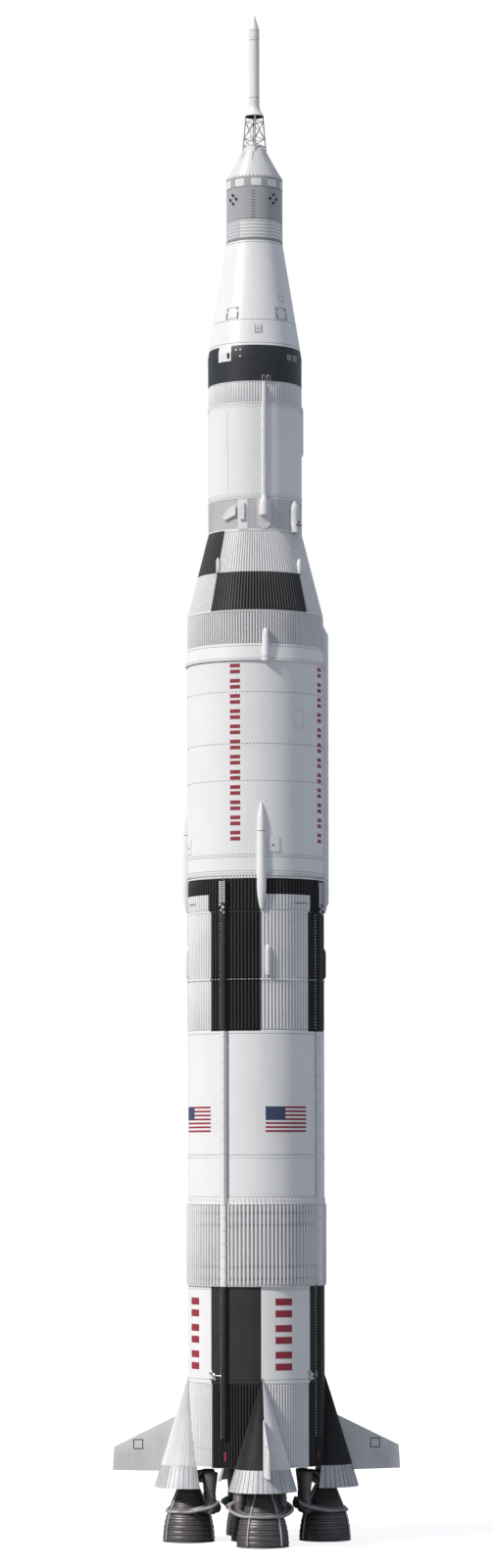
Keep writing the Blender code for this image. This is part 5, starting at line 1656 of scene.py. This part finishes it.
def block(low, high):
    """A box with softened edges."""
    form = bmesh.new()
    size = Vector(high) - Vector(low)
    middle = (Vector(high) + Vector(low)) / 2
    bmesh.ops.create_cube(form, size=1.0, matrix=Matrix.Translation(middle) @ Matrix.Diagonal((*size, 1)))
    bmesh.ops.bevel(form, geom=form.edges[:], offset=0.0012, segments=2, affect="EDGES", profile=0.6)
    mesh = bpy.data.meshes.new("block")
    form.to_mesh(mesh)
    form.free()
    mesh.materials.append(ENGINE)
    return mesh


def gimbal_ear(x):
    """One ear of the engine's yoke."""
    return block((x - 0.004, -0.009, 0.494), (x + 0.004, 0.009, 0.539))


def exhaust_duct(sign):
    """One duct with its flange rings, its elbow and the pipe from the pump."""
    parts = [turned(DUCT_ROWS, POD_SIDES, ENGINE, centre=-DUCT_REACH)]
    for z, ring_r in ((0.300, 0.0365), (0.4925, 0.0502)):
        ring = ((ring_r - 0.004, z), (ring_r, z), (ring_r, z + 0.006), (ring_r - 0.004, z + 0.006))
        parts.append(turned(ring, POD_SIDES, NOZZLE_BAND, centre=-DUCT_REACH, loop=True))
    rows = list(ELBOW_ROWS) + [(radius, -height) for radius, height in reversed(ELBOW_ROWS)]
    rows = [(*row, NOZZLE_BAND) if 0.025 < row[0] < 0.03 else row for row in rows]
    elbow = turned(rows, POD_SIDES, NOZZLE)
    elbow.transform(Matrix.Translation((-ELBOW_REACH, 0, ELBOW_Z)) @ Matrix.Rotation(math.radians(-90), 4, "X"))
    parts.append(elbow)
    parts.append(tubes([[Vector((-0.172, 0, 0.226)), Vector((-0.213, 0, 0.232))]], 0.020, ENGINE))
    for part in parts:
        part.transform(Matrix.Rotation(math.radians(-sign * 45), 4, "Z"))
    side = DUCT_REACH * math.sin(math.radians(45))
    cross = smooth_line(((-0.098, 0, 0.468), (-0.115, sign * 0.055, 0.466), (-0.135, sign * 0.105, 0.470),
                         (-side + 0.01, sign * (side - 0.01), 0.476)))
    parts.append(tubes([cross], 0.013, ENGINE))
    return parts


PLUMBING = (
    (0.0075, ((-0.075, 0.030, 0.440), (-0.060, 0.072, 0.452), (-0.020, 0.082, 0.480), (-0.010, 0.056, 0.492))),
    (0.0050, ((-0.090, 0.095, 0.505), (-0.050, 0.098, 0.480), (-0.010, 0.090, 0.458), (0.030, 0.060, 0.452))),
    (0.0060, ((-0.122, 0.030, 0.500), (-0.100, 0.070, 0.506), (-0.055, 0.092, 0.500), (0.0, 0.080, 0.504))),
    (0.0040, ((0.045, 0.030, 0.470), (0.070, 0.045, 0.440), (0.080, 0.060, 0.400), (0.082, 0.066, 0.380))),
)
CASINGS = (
    ((-0.062, 0.052, 0.470), (-0.030, 0.084, 0.500)), ((-0.100, 0.050, 0.430), (-0.078, 0.078, 0.462)),
    ((0.010, 0.055, 0.462), (0.040, 0.080, 0.488)), ((-0.130, 0.016, 0.476), (-0.104, 0.040, 0.506)),
)


def turbopump_piece(name, centre, bearing, body, node):
    """The pump beside the chamber, its small pipes and boxes, and the two ducts down to the elbows."""
    piece = Piece(name)
    pump = ((0.0, 0.424), (0.022, 0.424), (0.026, 0.432), (0.034, 0.436), (0.036, 0.446), (0.036, 0.462),
            (0.032, 0.466), (0.032, 0.474), (0.036, 0.478), (0.036, 0.494), (0.028, 0.503), (0.014, 0.508),
            (0.0, 0.508))
    piece.add(turned(pump, 40, ENGINE, centre=-0.098))
    piece.add(tubes([(Vector((-0.098, 0, 0.478)), Vector((-0.050, 0, 0.478)))], 0.015, ENGINE))
    for sign in (-1, 1):
        piece.add(*exhaust_duct(sign))
        for number, (radius, knots) in enumerate(PLUMBING):
            line = smooth_line([(x, sign * y, z) for x, y, z in knots])
            piece.add(tubes([line], radius, STEEL if number % 2 else ENGINE, 10))
        for low, high in CASINGS:
            ends = sorted((sign * low[1], sign * high[1]))
            piece.add(block((low[0], ends[0], low[2]), (high[0], ends[1], high[2])))
    piece.form.transform(Matrix.Translation((centre, 0, 0)))
    piece.form.transform(heading(bearing))
    piece.done(node, body=body, slot="engine_metal")


def engines():
    """Five engines with their pumps; the gimbal crosses keep their solids."""
    nozzle_piece("nozzle_centre", 0.0, CENTRE_ENGINE_BEARING, "rocket", "thrust_chamber_centre", False)
    turbopump_piece("pump_centre", 0.0, CENTRE_ENGINE_BEARING, "rocket", "turbopump_centre")
    for number, bearing in enumerate(OUTER_BEARINGS, 1):
        body = f"engine_{number}"
        nozzle_piece(f"nozzle_{number}", ENGINE_CIRCLE_R, bearing, body, f"thrust_chamber_{number}", True)
        turbopump_piece(f"pump_{number}", ENGINE_CIRCLE_R, bearing, body, f"turbopump_{number}")
        fairing_and_fin(number, bearing)
        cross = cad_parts[f"gimbal_cross_{number}"]
        cross.data.materials.clear()
        cross.data.materials.append(STEEL)


def stage_and_light():
    """Camera, sun, sky and floor."""
    scene = bpy.context.scene
    scene.view_settings.view_transform = "Standard"
    camera_data = bpy.data.cameras.new("Camera")
    camera_data.sensor_width = SENSOR
    camera_data.lens = SENSOR * CAMERA_DISTANCE / (PICTURE_HEIGHT_PX * METRES_PER_PX)
    camera_data.shift_x = -AXIS_RIGHT_OF_MIDDLE_PX / PICTURE_HEIGHT_PX
    camera_data.shift_y = HORIZON_BELOW_MIDDLE_PX / PICTURE_HEIGHT_PX
    camera_data.clip_end = 500.0
    camera = bpy.data.objects.new("Camera", camera_data)
    camera.location = at(-CAMERA_TURN, CAMERA_DISTANCE, CAMERA_HEIGHT)
    camera.rotation_euler = (math.radians(90), math.radians(CAMERA_ROLL), math.radians(-CAMERA_TURN))
    scene.collection.objects.link(camera)
    scene.camera = camera

    sun_data = bpy.data.lights.new("Sun", "SUN")
    sun_data.energy = SUN_STRENGTH
    sun_data.color = SUN_COLOUR
    sun_data.angle = math.radians(SUN_SOFTNESS)
    sun = bpy.data.objects.new("Sun", sun_data)
    elevation = math.radians(SUN_ELEVATION)
    towards = at(SUN_TURN - CAMERA_TURN, math.cos(elevation), math.sin(elevation))
    sun.rotation_euler = towards.to_track_quat("Z", "Y").to_euler()
    sun.location = towards * 20
    scene.collection.objects.link(sun)

    world = bpy.data.worlds.new("Sky")
    world.use_nodes = True
    scene.world = world
    tree = world.node_tree
    seen = add(tree, "ShaderNodeLightPath").outputs["Is Camera Ray"]
    colour = blend_colours(tree, seen, (*SKY_COLOUR, 1.0), (1.0, 1.0, 1.0, 1.0))
    tree.links.new(colour, tree.nodes["Background"].inputs["Color"])

    form = bmesh.new()
    bmesh.ops.create_grid(form, x_segments=2, y_segments=2, size=150.0)
    floor_mesh = bpy.data.meshes.new("floor")
    form.to_mesh(floor_mesh)
    form.free()
    floor_mesh.materials.append(floor_finish())
    floor = bpy.data.objects.new("floor", floor_mesh)
    scene.collection.objects.link(floor)


def floor_finish():
    """A pale floor, almost white to the camera, with only a faint shadow on it."""
    material = bpy.data.materials.new("pale_floor")
    material.use_nodes = True
    tree = material.node_tree
    tree.nodes.remove(tree.nodes["Principled BSDF"])
    matt = add(tree, "ShaderNodeBsdfDiffuse", {"Color": (0.26, 0.26, 0.26, 1.0)})
    glow = add(tree, "ShaderNodeEmission", {"Color": (1.0, 1.0, 1.0, 1.0), "Strength": 0.86})
    both = add(tree, "ShaderNodeAddShader", {0: matt.outputs[0], 1: glow.outputs[0]})
    seen = add(tree, "ShaderNodeLightPath").outputs["Is Camera Ray"]
    mixed = add(tree, "ShaderNodeMixShader", {0: seen, 1: matt.outputs[0], 2: both.outputs[0]})
    tree.links.new(mixed.outputs[0], tree.nodes["Material Output"].inputs["Surface"])
    return material


stage_and_light()
first_stage()
second_stage()
upper_sections()
service_module()
cover()
escape_system()
pods()
tunnels()
main_marks()
engines()
